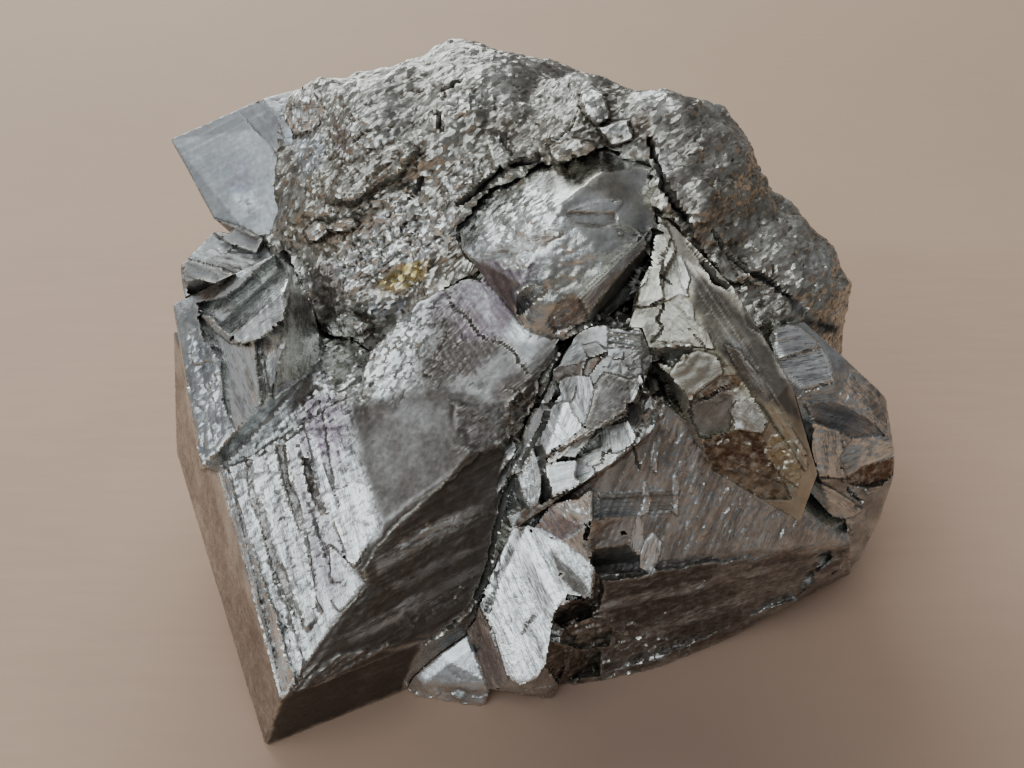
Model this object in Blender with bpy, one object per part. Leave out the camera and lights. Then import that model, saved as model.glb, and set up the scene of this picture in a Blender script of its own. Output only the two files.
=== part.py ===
"""Pyrite in matrix: pyrite crystals grown together in a lump of granular pyrite.

The specimen is broken off flat underneath and rests there, at z = 0. +X is to its right and +Y to
its back, away from the side that shows the large crystals. Corners and lumps are given in
millimetres on a working origin near the middle of the underside. The last step moves the whole
specimen so that the origin is under the middle of its bounding box.
"""

import bmesh
import bpy
import numpy as np
from mathutils import Vector, noise

MM = 0.001
SEAM_MM = 0.35
CRACK_MM = 0.8
FLAT_ANGLE = 0.02

# Every crystal is one or more blocks. A block is the convex solid spanned by its corners, in mm.

# The large cube corner at the front left: its tip stands on the table, its right face is undercut.
CORNER_BLOCK = (
    (-30.5, -45.5, 13.0),
    (-34.5, -44.0, 0.0),
    (-41.5, -18.5, 28.0),
    (-52.5, 5.5, 36.0),
    (-54.5, 0.0, 16.0),
    (-51.0, -8.0, 13.0),
    (-16.5, -35.0, 0.0),
    (-13.0, -33.0, 8.0),
    (-6.0, -31.5, 12.0),
    (1.0, -27.5, 11.5),
    (-18.0, -33.0, 25.5),
    (1.0, -18.0, 34.0),
    (7.0, -15.5, 32.0),
    (-23.5, -13.0, 37.5),
    (-40.5, -0.5, 40.5),
    (-40.0, 8.0, 0.0),
    (-20.0, 12.0, 0.0),
    (14.0, -18.0, 0.0),
    (-50.0, 16.0, 34.0),
    (0.0, 0.0, 36.0),
)
# The tarnished flat that rises from the corner block to the dome.
FLAT_BLOCK = (
    (-18.0, -32.7, 25.0),
    (-1.0, -19.5, 33.5),
    (5.0, -14.5, 41.0),
    (6.0, -12.0, 46.0),
    (1.0, -6.5, 50.0),
    (-6.0, -2.0, 51.0),
    (-13.0, -3.5, 48.0),
    (-20.0, -8.0, 42.5),
    (-22.5, -14.5, 36.5),
    (-5.0, 5.0, 20.0),
    (15.0, 0.0, 30.0),
    (-20.0, 5.0, 25.0),
)
# The pale conchoidal dome in the middle.
DOME_BLOCK = (
    (-8.0, 6.5, 57.0),
    (-1.5, 10.5, 60.5),
    (5.5, 13.5, 64.0),
    (13.0, 8.0, 66.0),
    (19.5, 4.5, 64.5),
    (19.5, -3.0, 60.5),
    (18.5, -6.5, 56.0),
    (17.0, -8.5, 52.5),
    (12.0, -11.0, 49.5),
    (7.0, -11.5, 46.5),
    (2.0, -11.5, 48.5),
    (-7.0, -2.5, 55.5),
    (6.5, -5.0, 64.0),
    (12.0, -0.5, 66.0),
    (-1.5, -0.5, 60.0),
    (18.0, -3.5, 59.0),
    (13.0, -9.0, 56.0),
    (7.0, -10.5, 52.0),
    (1.0, -9.5, 54.5),
    (0.0, 10.0, 40.0),
    (20.0, 10.0, 40.0),
    (8.0, 18.0, 55.0),
)
# The smaller block with bevelled edges that stands on the corner block's upper left.
STEPPED_BLOCK = (
    (-50.0, 1.0, 40.5),
    (-46.5, 1.5, 42.5),
    (-35.0, 5.5, 50.0),
    (-32.5, -1.5, 46.5),
    (-31.5, -8.0, 44.0),
    (-33.0, -13.0, 39.5),
    (-38.5, -16.5, 34.5),
    (-43.5, -20.0, 30.5),
    (-52.0, 6.5, 40.5),
    (-27.5, -7.0, 40.5),
    (-34.0, -12.5, 34.5),
    (-42.0, -18.0, 28.0),
    (-33.5, 11.0, 47.5),
    (-47.5, -10.0, 21.5),
    (-50.0, 12.0, 30.0),
    (-30.0, 14.0, 34.0),
    (-28.0, 0.0, 30.0),
    (-40.0, -10.0, 20.0),
)
# The smooth cube corner that juts out at the back left, and the small block under it.
BACK_LEFT_BLOCK = (
    (-54.0, 27.0, 58.0),
    (-39.0, 29.0, 64.0),
    (-34.0, 23.5, 62.0),
    (-31.0, 15.0, 52.5),
    (-32.5, 12.5, 49.5),
    (-40.0, 13.0, 48.5),
    (-46.5, 17.0, 49.5),
    (-52.0, 36.0, 50.0),
    (-38.0, 40.0, 55.0),
    (-30.0, 24.0, 40.0),
    (-44.0, 26.0, 38.0),
    (-32.0, 36.0, 63.2),
)
LEFT_KNOB_BLOCK = (
    (-51.0, 10.5, 45.0),
    (-46.0, 15.0, 48.5),
    (-33.5, 12.0, 48.0),
    (-34.0, 4.0, 43.0),
    (-42.0, 3.0, 43.5),
    (-50.0, 6.0, 42.0),
    (-50.0, 22.0, 30.0),
    (-30.0, 20.0, 34.0),
    (-30.0, 8.0, 30.0),
    (-50.0, 8.0, 28.0),
)
# The large crystal at the lower right, with the broken steps above it.
RIGHT_BLOCK = (
    (19.5, -18.0, 41.5),
    (26.0, -19.0, 35.0),
    (35.5, -20.5, 25.0),
    (43.5, -21.0, 19.5),
    (50.0, -20.5, 16.0),
    (11.0, -29.5, 19.0),
    (13.0, -33.0, 0.0),
    (20.5, -31.0, 0.0),
    (31.5, -26.0, 0.0),
    (44.5, -20.0, 3.0),
    (53.5, -15.5, 4.0),
    (0.5, -24.0, 21.5),
    (10.5, -23.5, 33.5),
    (-2.0, -24.0, 2.0),
    (6.0, -34.0, 0.0),
    (50.0, 0.0, 0.0),
    (10.0, 0.0, 0.0),
    (50.0, -4.0, 20.0),
    (20.0, 0.0, 40.0),
)
STEPS_BLOCK = (
    (-1.0, -25.5, 27.5),
    (0.0, -27.0, 25.5),
    (4.0, -20.0, 35.0),
    (13.0, -24.5, 35.0),
    (19.5, -21.0, 39.0),
    (19.0, -18.0, 42.5),
    (6.0, -12.0, 42.0),
    (0.0, -18.0, 24.0),
    (16.0, -8.0, 40.0),
    (14.0, -14.0, 24.0),
)
UPPER_STEP_BLOCK = (
    (-1.0, -22.7, 31.0),
    (4.5, -23.0, 35.7),
    (12.0, -21.7, 39.5),
    (17.0, -19.8, 42.5),
    (19.0, -15.0, 46.0),
    (17.5, -12.5, 49.3),
    (10.5, -10.8, 48.5),
    (7.5, -11.8, 45.3),
    (4.7, -15.5, 40.0),
    (4.0, -12.0, 32.0),
    (16.0, -8.0, 38.0),
)
# The bright block at the foot of the main crack, and the small pale one beside it.
BRIGHT_BLOCK = (
    (-2.0, -24.5, 21.5),
    (0.0, -24.0, 22.5),
    (4.0, -24.0, 24.0),
    (11.0, -22.5, 28.5),
    (11.5, -29.5, 20.0),
    (11.0, -32.0, 17.0),
    (6.0, -35.5, 11.5),
    (4.0, -38.0, 8.0),
    (1.5, -38.5, 6.5),
    (-0.5, -37.5, 7.0),
    (-5.0, -29.5, 15.0),
    (-3.0, -26.5, 19.0),
    (-3.5, -36.5, 3.0),
    (-6.5, -31.5, 10.0),
    (-4.0, -34.0, 0.0),
    (6.0, -36.0, 0.0),
    (0.0, -20.0, 10.0),
    (12.0, -22.0, 10.0),
)
FOOT_BLOCK = (
    (-7.0, -30.5, 9.5),
    (-3.0, -36.0, 3.5),
    (-14.0, -35.0, 3.0),
    (-13.0, -32.5, 7.5),
    (-4.0, -37.5, 0.0),
    (-15.0, -35.5, 0.0),
    (-10.0, -26.0, 0.0),
    (0.0, -25.0, 5.0),
    (-10.0, -25.0, 8.0),
)
# The long wedge right of the middle, whose ridge runs down to the right.
RIDGE_BLOCK = (
    (19.5, 0.5, 61.0),
    (21.5, -6.0, 57.5),
    (25.0, -10.0, 54.5),
    (30.5, -15.0, 49.0),
    (37.5, -19.0, 40.5),
    (42.5, -21.0, 30.5),
    (40.5, -24.0, 24.0),
    (35.5, -21.5, 27.0),
    (27.5, -22.5, 32.5),
    (24.5, -19.0, 37.0),
    (19.5, -13.0, 46.0),
    (16.0, -11.5, 50.0),
    (17.0, -10.5, 52.5),
    (19.5, -5.5, 57.0),
    (29.5, -11.5, 55.0),
    (32.0, -14.5, 50.5),
    (37.0, -18.5, 45.0),
    (30.0, 5.0, 40.0),
    (45.0, -5.0, 25.0),
    (30.0, -8.0, 25.0),
    (18.0, 0.0, 45.0),
)
# The crystals at the far right, which end in a sharp corner over a dark hollow.
RIGHT_CORNER_BLOCK = (
    (46.5, -13.0, 36.5),
    (57.0, -11.5, 25.5),
    (57.5, -12.0, 21.5),
    (44.5, -18.0, 26.0),
    (40.0, -14.5, 39.5),
    (36.5, -11.0, 45.5),
    (36.0, -10.0, 47.5),
    (41.0, -7.0, 46.5),
    (47.5, -9.5, 41.5),
    (54.5, -9.0, 34.5),
    (56.5, -13.5, 14.0),
    (54.0, -15.0, 3.0),
    (50.0, -17.5, 14.0),
    (50.0, 5.0, 10.0),
    (40.0, 5.0, 40.0),
    (56.0, 2.0, 10.0),
    (35.0, -5.0, 25.0),
)

# Which blocks make up each crystal, in the order in which they take their space.
CRYSTALS = {
    "left_crystal": (CORNER_BLOCK, STEPPED_BLOCK, FLAT_BLOCK, DOME_BLOCK),
    "right_crystal": (RIGHT_BLOCK, STEPS_BLOCK, UPPER_STEP_BLOCK, BRIGHT_BLOCK, FOOT_BLOCK),
    "ridge_crystal": (RIDGE_BLOCK,),
    "right_corner_crystal": (RIGHT_CORNER_BLOCK,),
    "back_left_crystal": (BACK_LEFT_BLOCK, LEFT_KNOB_BLOCK),
}

# Striated faces carry ledges: (start and end of the first, ways across to the start and end of the
# last, count, height), in mm. Each ledge stands out at its own edge and fades towards the next.
LEDGES = {
    "left_crystal": (
        ((-40.3, -18.8, 29.3), (-31.0, -42.8, 15.1), (16.5, 5.5, 8.6), (11.0, 11.0, 11.0), 6, 0.45),
        ((-29.5, -44.8, 13.4), (0.5, -18.6, 33.3), (2.5, 1.2, -0.5), (-6.5, -13.0, -21.0), 6, 0.7),
    ),
    "right_crystal": (
        ((12.4, -30.1, 16.3), (47.3, -21.3, 14.2), (1.1, -2.2, -12.3), (-6.4, -1.7, -10.4), 3, 1.1),
    ),
}
LEDGE_ROOT_MM = 0.5
LEDGE_OVERLAP = 1.2

# The matrix is one lump whose bulk follows these ellipsoids: (middle, half-lengths), in mm.
MATRIX_MIDDLE = (0.0, 17.0, 26.0)
MATRIX_BULK = (
    ((-6.0, 25.0, 28.0), (42.0, 31.0, 45.5)),
    ((-29.0, 27.0, 46.0), (15.5, 15.0, 19.0)),
    ((-28.0, 29.0, 53.0), (15.0, 12.0, 11.0)),
    ((-27.0, 36.0, 56.0), (9.0, 8.0, 8.0)),
    ((22.0, 13.0, 24.0), (26.0, 24.0, 47.0)),
    ((36.0, 6.0, 22.0), (19.5, 18.0, 35.5)),
    ((-28.0, 14.0, 30.0), (13.0, 15.0, 19.0)),
    ((-12.0, 12.0, 30.0), (23.0, 19.0, 25.0)),
    ((8.0, 20.0, 20.0), (46.0, 33.0, 33.0)),
    ((12.0, 15.0, 42.0), (15.0, 15.0, 33.0)),
)
# Flat breaks across its back, as (azimuth and elevation in degrees, distance from its middle in mm).
MATRIX_BREAKS = (
    (92.0, 8.0, 35.0),
    (138.0, 22.0, 42.5),
    (52.0, 26.0, 37.0),
    (12.0, 4.0, 49.0),
    (100.0, 50.0, 45.0),
    (176.0, 12.0, 44.0),
)
MATRIX_SUBDIVISIONS = 5
SMOOTHING_ROUNDS = 1
LUMP_SIZES_MM = (19.0, 9.0)
LUMP_HEIGHTS_MM = (4.5, 2.4)
LUMP_LEVEL = 0.36
LUMP_SEED = 7
FACET_TILT = 0.55

PYRITE_SILVER = (0.56, 0.53, 0.46, 1.0)
PYRITE_PALE = (0.62, 0.58, 0.47, 1.0)
PYRITE_BROWN = (0.36, 0.32, 0.26, 1.0)
PYRITE_BLUE = (0.47, 0.50, 0.50, 1.0)
MATRIX_OLIVE = (0.38, 0.36, 0.29, 1.0)
FINISHES = {
    "matrix": (MATRIX_OLIVE, 0.55),
    "left_crystal": (PYRITE_SILVER, 0.35),
    "right_crystal": (PYRITE_PALE, 0.32),
    "ridge_crystal": (PYRITE_BROWN, 0.42),
    "right_corner_crystal": (PYRITE_SILVER, 0.4),
    "back_left_crystal": (PYRITE_BLUE, 0.38),
}


def clear_scene():
    """Removes every object that the file opens with."""
    for obj in list(bpy.data.objects):
        bpy.data.objects.remove(obj, do_unlink=True)


def new_collection(name, hidden=False):
    """Makes a collection in the scene, left out of renders if it is hidden."""
    collection = bpy.data.collections.new(name)
    collection.hide_render = hidden
    bpy.context.scene.collection.children.link(collection)
    return collection


def block_object(name, corners, grow_mm, collection):
    """Makes the convex solid spanned by corners, widened by grow_mm on every side."""
    if grow_mm:
        reach = [Vector(v) * grow_mm for v in ((1, 0, 0), (0, 1, 0), (0, 0, 1))]
        shifts = reach + [-shift for shift in reach]
    else:
        shifts = [Vector((0, 0, 0))]
    mesh = bpy.data.meshes.new(name)
    body = bmesh.new()
    for corner in corners:
        for shift in shifts:
            body.verts.new((Vector(corner) + shift) * MM)
    hull = bmesh.ops.convex_hull(body, input=body.verts[:])
    unused = {item for key in ("geom_interior", "geom_unused") for item in hull[key]}
    bmesh.ops.delete(
        body, geom=[item for item in unused if isinstance(item, bmesh.types.BMVert)], context="VERTS"
    )
    bmesh.ops.dissolve_limit(
        body, angle_limit=FLAT_ANGLE, verts=body.verts[:], edges=body.edges[:]
    )
    bmesh.ops.recalc_face_normals(body, faces=body.faces[:])
    body.to_mesh(mesh)
    body.free()
    obj = bpy.data.objects.new(name, mesh)
    collection.objects.link(obj)
    return obj


def apply_boolean(target, operation, tool):
    """Joins tool to target, or cuts it away, and keeps the result as target's own mesh."""
    modifier = target.modifiers.new(operation.lower(), "BOOLEAN")
    modifier.operation = operation
    modifier.solver = "EXACT"
    modifier.object = tool
    graph = bpy.context.evaluated_depsgraph_get()
    mesh = bpy.data.meshes.new_from_object(target.evaluated_get(graph))
    target.modifiers.remove(modifier)
    old = target.data
    target.data = mesh
    bpy.data.meshes.remove(old)
    mesh.name = target.name


def keep_largest_body(obj):
    """Deletes the loose crumbs that a cut leaves beside an object's main body."""
    body = bmesh.new()
    body.from_mesh(obj.data)
    left = set(body.verts)
    bodies = []
    while left:
        stack = [left.pop()]
        group = set(stack)
        while stack:
            for edge in stack.pop().link_edges:
                for vert in edge.verts:
                    if vert not in group:
                        group.add(vert)
                        stack.append(vert)
        left -= group
        bodies.append(group)
    bodies.sort(key=len)
    crumbs = [vert for group in bodies[:-1] for vert in group]
    bmesh.ops.delete(body, geom=crumbs, context="VERTS")
    body.to_mesh(obj.data)
    body.free()


def crystal_object(name, earlier, collection, cutters):
    """Makes one crystal of its blocks, and cuts it back where earlier crystals already are."""
    blocks = blocks_of(name)
    crystal = block_object(name, blocks[0], 0.0, collection)
    for number, block in enumerate(blocks[1:]):
        tool = block_object(f"{name}_block_{number}", block, 0.0, cutters)
        hide_tool(tool)
        apply_boolean(crystal, "UNION", tool)
    cut_by(crystal, earlier, SEAM_MM, cutters)
    return crystal


def ledge_blocks(start, end, start_fall, end_fall, count, height):
    """Returns the corners of each ledge of a striated face, from the first to the last."""
    start, end, start_fall, end_fall = map(Vector, (start, end, start_fall, end_fall))
    outward = (end - start).cross(start_fall + end_fall).normalized()
    if outward.y > 0:
        outward.negate()
    blocks = []
    for number in range(count):
        here, there = number / count, (number + LEDGE_OVERLAP) / count
        edge = (start + start_fall * here, end + end_fall * here)
        foot = (start + start_fall * there, end + end_fall * there)
        raised = [corner + outward * height for corner in edge]
        sunk = [corner - outward * LEDGE_ROOT_MM for corner in edge + foot]
        blocks.append([*raised, *sunk])
    return blocks


def blocks_of(name):
    """Returns every block of a crystal: its own, then its ledges."""
    ledges = [block for ledge in LEDGES.get(name, ()) for block in ledge_blocks(*ledge)]
    return [*CRYSTALS[name], *ledges]


def hide_tool(obj):
    """Marks an object as a modelling helper that isn't part of the specimen."""
    obj.hide_render = True
    obj.display_type = "WIRE"


def cut_by(obj, others, gap_mm, cutters):
    """Cuts obj back to leave gap_mm to each block of the crystals named in others."""
    for name in others:
        for number, block in enumerate(blocks_of(name)):
            tool = block_object(f"{obj.name}_less_{name}_{number}", block, gap_mm, cutters)
            hide_tool(tool)
            apply_boolean(obj, "DIFFERENCE", tool)
    keep_largest_body(obj)


def bulk_distance(directions):
    """Returns how far the bulk reaches from the matrix's middle along each unit direction, in mm."""
    reach = np.zeros(len(directions))
    for middle, half_lengths in MATRIX_BULK:
        start = (np.array(MATRIX_MIDDLE) - middle) / half_lengths
        step = directions / half_lengths
        a = (step * step).sum(axis=1)
        b = step @ start
        root = b * b - a * (start @ start - 1.0)
        far = np.where(root > 0, (np.sqrt(np.maximum(root, 0)) - b) / a, 0.0)
        reach = np.maximum(reach, far)
    for azimuth, elevation, distance in MATRIX_BREAKS:
        turn, rise = np.radians(azimuth), np.radians(elevation)
        facing = (np.cos(rise) * np.cos(turn), np.cos(rise) * np.sin(turn), np.sin(rise))
        towards = np.maximum(directions @ np.array(facing), 1e-3)
        reach = np.minimum(reach, distance / towards)
    return reach


def lump_height(point):
    """Returns how far the faceted lumps stand out of the matrix at a point, in mm."""
    total = 0.0
    for size, height in zip(LUMP_SIZES_MM, LUMP_HEIGHTS_MM):
        distances, seeds = noise.voronoi(Vector(point) / size)
        offset = Vector(point) / size - seeds[0]
        tilt = noise.noise_vector(seeds[0] * 7.3)
        total += height * (distances[1] - distances[0] - LUMP_LEVEL + FACET_TILT * offset.dot(tilt))
    return total


def matrix_object(collection, cutters):
    """Makes the granular matrix: a lumpy ball, flat underneath, hollowed for the crystals."""
    bpy.ops.mesh.primitive_ico_sphere_add(subdivisions=MATRIX_SUBDIVISIONS, radius=1.0)
    matrix = bpy.context.object
    for owner in list(matrix.users_collection):
        owner.objects.unlink(matrix)
    collection.objects.link(matrix)
    matrix.name = matrix.data.name = "matrix"

    body = bmesh.new()
    body.from_mesh(matrix.data)
    directions = np.array([vert.co.normalized() for vert in body.verts])
    reach = bulk_distance(directions)
    for _ in range(SMOOTHING_ROUNDS):
        reach = np.array(
            [
                0.5 * reach[vert.index]
                + 0.5 * np.mean([reach[edge.other_vert(vert).index] for edge in vert.link_edges])
                for vert in body.verts
            ]
        )
    noise.seed_set(LUMP_SEED)
    for vert, direction, distance in zip(body.verts, directions, reach):
        point = np.array(MATRIX_MIDDLE) + direction * distance
        vert.co = Vector(point + direction * lump_height(point)) * MM
    cut = bmesh.ops.bisect_plane(
        body,
        geom=body.verts[:] + body.edges[:] + body.faces[:],
        plane_co=(0, 0, 0),
        plane_no=(0, 0, -1),
        clear_outer=True,
    )
    rim = [item for item in cut["geom_cut"] if isinstance(item, bmesh.types.BMEdge)]
    bmesh.ops.edgenet_fill(body, edges=rim)
    bmesh.ops.recalc_face_normals(body, faces=body.faces[:])
    body.to_mesh(matrix.data)
    body.free()
    cut_by(matrix, CRYSTALS, CRACK_MM, cutters)
    return matrix


def pyrite_material(name, colour, roughness):
    """Makes a plain metallic finish for one piece."""
    material = bpy.data.materials.new(name)
    material.use_nodes = True
    shader = material.node_tree.nodes["Principled BSDF"]
    shader.inputs["Base Color"].default_value = colour
    shader.inputs["Metallic"].default_value = 1.0
    shader.inputs["Roughness"].default_value = roughness
    return material


def centre_on_footprint(objects):
    """Moves the pieces so that the origin is under the middle of their bounding box."""
    corners = np.array([vert.co for obj in objects for vert in obj.data.vertices])
    low, high = corners.min(axis=0), corners.max(axis=0)
    shift = Vector((-(low[0] + high[0]) / 2, -(low[1] + high[1]) / 2, -low[2]))
    for obj in objects:
        for vert in obj.data.vertices:
            vert.co += shift


def main():
    """Builds the crystals in order, then the matrix round them."""
    clear_scene()
    specimen = new_collection("pyrite_in_matrix")
    cutters = new_collection("cutters", hidden=True)
    pieces = []
    for name in CRYSTALS:
        earlier = [piece.name for piece in pieces]
        pieces.append(crystal_object(name, earlier, specimen, cutters))
    pieces.append(matrix_object(specimen, cutters))
    centre_on_footprint(pieces)
    for piece in pieces:
        colour, roughness = FINISHES[piece.name]
        piece.data.materials.clear()
        piece.data.materials.append(pyrite_material(piece.name, colour, roughness))


main()
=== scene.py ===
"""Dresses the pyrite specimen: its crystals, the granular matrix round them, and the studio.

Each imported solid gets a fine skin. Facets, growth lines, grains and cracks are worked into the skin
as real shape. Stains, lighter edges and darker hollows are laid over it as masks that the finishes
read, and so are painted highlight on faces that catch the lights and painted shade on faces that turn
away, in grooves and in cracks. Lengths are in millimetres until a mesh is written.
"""

import logging
import math
from collections.abc import Iterable
from dataclasses import dataclass
from enum import Enum

import bmesh
import bpy
import numpy as np
from mathutils import Euler, Vector
from mathutils.bvhtree import BVHTree
from mathutils.kdtree import KDTree
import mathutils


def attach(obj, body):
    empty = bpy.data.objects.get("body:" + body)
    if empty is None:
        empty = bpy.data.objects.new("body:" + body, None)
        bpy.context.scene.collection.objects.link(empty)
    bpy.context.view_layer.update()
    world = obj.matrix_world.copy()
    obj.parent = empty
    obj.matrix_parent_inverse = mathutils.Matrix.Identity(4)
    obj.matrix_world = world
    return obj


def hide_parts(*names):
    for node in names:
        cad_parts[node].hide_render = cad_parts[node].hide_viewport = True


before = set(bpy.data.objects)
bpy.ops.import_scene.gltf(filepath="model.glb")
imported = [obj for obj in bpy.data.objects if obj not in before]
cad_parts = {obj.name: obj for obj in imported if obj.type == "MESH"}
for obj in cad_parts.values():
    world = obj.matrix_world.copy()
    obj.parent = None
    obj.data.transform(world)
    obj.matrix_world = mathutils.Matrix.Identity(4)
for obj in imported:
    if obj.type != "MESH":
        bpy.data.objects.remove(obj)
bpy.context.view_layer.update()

LOG = logging.getLogger("pyrite")
MM = 0.001
BODY = "root"
Array = np.ndarray
# A line or an outline on the sheet lists its points by turns: across, down, across, down.
Outline = tuple[float, ...]
Triple = tuple[float, float, float]
Colour = Triple


# ---------------------------------------------------------------- noise


def cell_random(cells: Array, seed: int) -> Array:
    """Draws three repeatable random numbers for each whole-number cell.

    Args:
        cells: whole-number cell positions, one row each.
        seed: which draw to make.

    Returns:
        Numbers from 0 to 1, three to a row.
    """
    x, y, z = (cells[:, axis].astype(np.int64).astype(np.uint32) for axis in range(3))
    mixed = x * np.uint32(73856093) ^ y * np.uint32(19349663) ^ z * np.uint32(83492791)
    mixed = mixed + np.uint32(seed * 2654435761 % 2**32)
    drawn = []
    for _ in range(3):
        mixed = (mixed ^ (mixed >> np.uint32(16))) * np.uint32(0x45D9F3B)
        mixed = (mixed ^ (mixed >> np.uint32(15))) * np.uint32(0x2C1B3C6D)
        mixed = mixed ^ (mixed >> np.uint32(14))
        drawn.append(mixed / 2.0**32)
    return np.stack(drawn, axis=1)


def smooth_noise(points: Array, size: float, seed: int, octaves: int = 1) -> Array:
    """Makes soft noise, about -1 to 1.

    Args:
        points: positions, one row each.
        size: width of the largest lump, in the points' unit.
        seed: which noise to make.
        octaves: how many sizes to add up, each half the last.

    Returns:
        One height for each point.
    """
    total = np.zeros(len(points))
    reach = 1.0
    for octave in range(octaves):
        place = points / (size / 2**octave)
        corner = np.floor(place)
        share = place - corner
        share = share * share * (3 - 2 * share)
        for number in range(8):
            step = np.array([number & 1, number >> 1 & 1, number >> 2 & 1])
            weight = np.where(step, share, 1 - share).prod(axis=1)
            total += reach * weight * (2 * cell_random(corner + step, seed + octave)[:, 0] - 1)
        reach *= 0.5
    return total


def facet_noise(points: Array, size: float, seed: int, bend: float = 0.35) -> Array:
    """Makes noise of flat faces that meet at sharp edges, about -1 to 1.

    Args:
        points: positions in mm, one row each.
        size: width of a face, in mm.
        seed: which noise to make.
        bend: how far the faces stray from a regular grid.

    Returns:
        The height at each point.
    """
    place = points @ FACET_TURN / size
    stray = [smooth_noise(place, 1.7, seed + number) for number in range(3)]
    place = place + bend * np.stack(stray, axis=1)
    corner = np.floor(place)
    share = place - corner
    order = np.argsort(-share, axis=1)
    ranked = np.take_along_axis(share, order, axis=1)
    steps = np.concatenate([np.ones((len(points), 1)), ranked, np.zeros((len(points), 1))], axis=1)
    rows = np.arange(len(points))
    total = np.zeros(len(points))
    for number in range(4):
        height = 2 * cell_random(corner, seed)[:, 0] - 1
        total += (steps[:, number] - steps[:, number + 1]) * height
        if number < 3:
            corner[rows, order[:, number]] += 1
    return total


FACET_TURN = np.array(Euler((0.6, 0.8, 0.3)).to_matrix())


@dataclass(frozen=True)
class Grains:
    """The irregular grain that each of a set of points falls into.

    The gap to the grain's border and the offset from its middle are in grain widths, and draw holds
    the grain's three random numbers.
    """

    gap: Array
    offset: Array
    draw: Array


def grains_at(points: Array, size: float, seed: int, jitter: float = 0.8, blocky: float = 0.0) -> Grains:
    """Sorts points into irregular grains.

    Args:
        points: positions in mm, one row each.
        size: width of a grain, in mm.
        seed: which set of grains.
        jitter: how far a grain's middle strays from its place, 0 to 1.
        blocky: 0 for rounded grains, 1 for square ones.

    Returns:
        Each point's grain.
    """
    place = points / size
    base = np.floor(place - 0.5)
    nearest = np.full(len(points), np.inf)
    second = np.full(len(points), np.inf)
    offset = np.zeros_like(points)
    draw = np.zeros_like(points)
    for number in range(8):
        cell = base + np.array([number & 1, number >> 1 & 1, number >> 2 & 1])
        random = cell_random(cell, seed)
        away = place - (cell + 0.5 + jitter * (random - 0.5))
        far = np.sqrt((away * away).sum(axis=1))
        if blocky:
            far = (1 - blocky) * far + blocky * np.abs(away).max(axis=1)
        closer = far < nearest
        second = np.where(closer, nearest, np.minimum(second, far))
        nearest = np.where(closer, far, nearest)
        offset = np.where(closer[:, None], away, offset)
        draw = np.where(closer[:, None], random, draw)
    return Grains(second - nearest, offset, draw)


def ease(low: float, high: float, value: Array) -> Array:
    """Rises smoothly from 0 at low to 1 at high; low may be the larger."""
    share = np.clip((value - low) / (high - low), 0.0, 1.0)
    return share * share * (3 - 2 * share)


# ---------------------------------------------------------------- laying out marks


@dataclass(frozen=True)
class ShowSide:
    """The fixed point, in front of the specimen and above it, from which its marks are laid out.

    A mark's place is (across, down) on a sheet held up before that point. A step on the sheet is
    about 0.15 mm on the specimen. The marks stay on the skins, wherever the specimen is seen from.
    """

    eye_mm: Triple = (-1.5, -137.66, 134.66)
    pitch_deg: float = 38.0
    steps_per_unit: float = 1100.0
    middle: tuple[float, float] = (512.0, 384.0)

    def frame(self) -> tuple[Array, Array, Array]:
        """Finds the sheet's own directions.

        Returns:
            Rightwards, upwards and away from the eye.
        """
        pitch = math.radians(self.pitch_deg)
        upward = np.array([0.0, math.sin(pitch), math.cos(pitch)])
        forward = np.array([0.0, math.cos(pitch), -math.sin(pitch)])
        return np.array([1.0, 0.0, 0.0]), upward, forward

    def towards(self, points: Array) -> Array:
        """Returns the unit direction from each point to the eye."""
        away = np.array(self.eye_mm) - points
        return away / np.linalg.norm(away, axis=1)[:, None]

    def sheet(self, points: Array) -> Array:
        """Finds each point's place on the sheet.

        Args:
            points: positions in mm, one row each.

        Returns:
            (across, down) for each point.
        """
        rightward, upward, forward = self.frame()
        offset = points - np.array(self.eye_mm)
        depth = offset @ forward
        across = self.middle[0] + self.steps_per_unit * (offset @ rightward) / depth
        down = self.middle[1] - self.steps_per_unit * (offset @ upward) / depth
        return np.stack([across, down], axis=1)

    def rays(self, spots: Array) -> Array:
        """Finds the direction from the eye through each place on the sheet.

        Args:
            spots: (across, down) places, one row each.

        Returns:
            One direction for each place, not of unit length.
        """
        rightward, upward, forward = self.frame()
        across = (spots[:, :1] - self.middle[0]) / self.steps_per_unit
        rise = (self.middle[1] - spots[:, 1:]) / self.steps_per_unit
        return forward + across * rightward + rise * upward


SHOW_SIDE = ShowSide()
STEP_MM = 0.15


def corners_of(outline: Outline) -> Array:
    """Returns the points of an outline or a line, one row each."""
    return np.array(outline, float).reshape(-1, 2)


def depth_inside(spots: Array, outline: Outline) -> Array:
    """Measures spots against a closed outline.

    Args:
        spots: places on the sheet.
        outline: the outline.

    Returns:
        How far each spot lies inside the outline, negative outside it.
    """
    corners = corners_of(outline)
    nearest = np.full(len(spots), np.inf)
    inside = np.zeros(len(spots), bool)
    for start, end in zip(corners, np.roll(corners, -1, axis=0)):
        side = end - start
        offset = spots - start
        share = np.clip(offset @ side / (side @ side), 0, 1)
        gap = offset - share[:, None] * side
        nearest = np.minimum(nearest, (gap * gap).sum(axis=1))
        spans = (start[1] > spots[:, 1]) != (end[1] > spots[:, 1])
        meets = start[0] + offset[:, 1] * side[0] / (side[1] or 1.0)
        inside ^= spans & (spots[:, 0] < meets)
    return np.where(inside, 1, -1) * np.sqrt(nearest)


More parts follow.
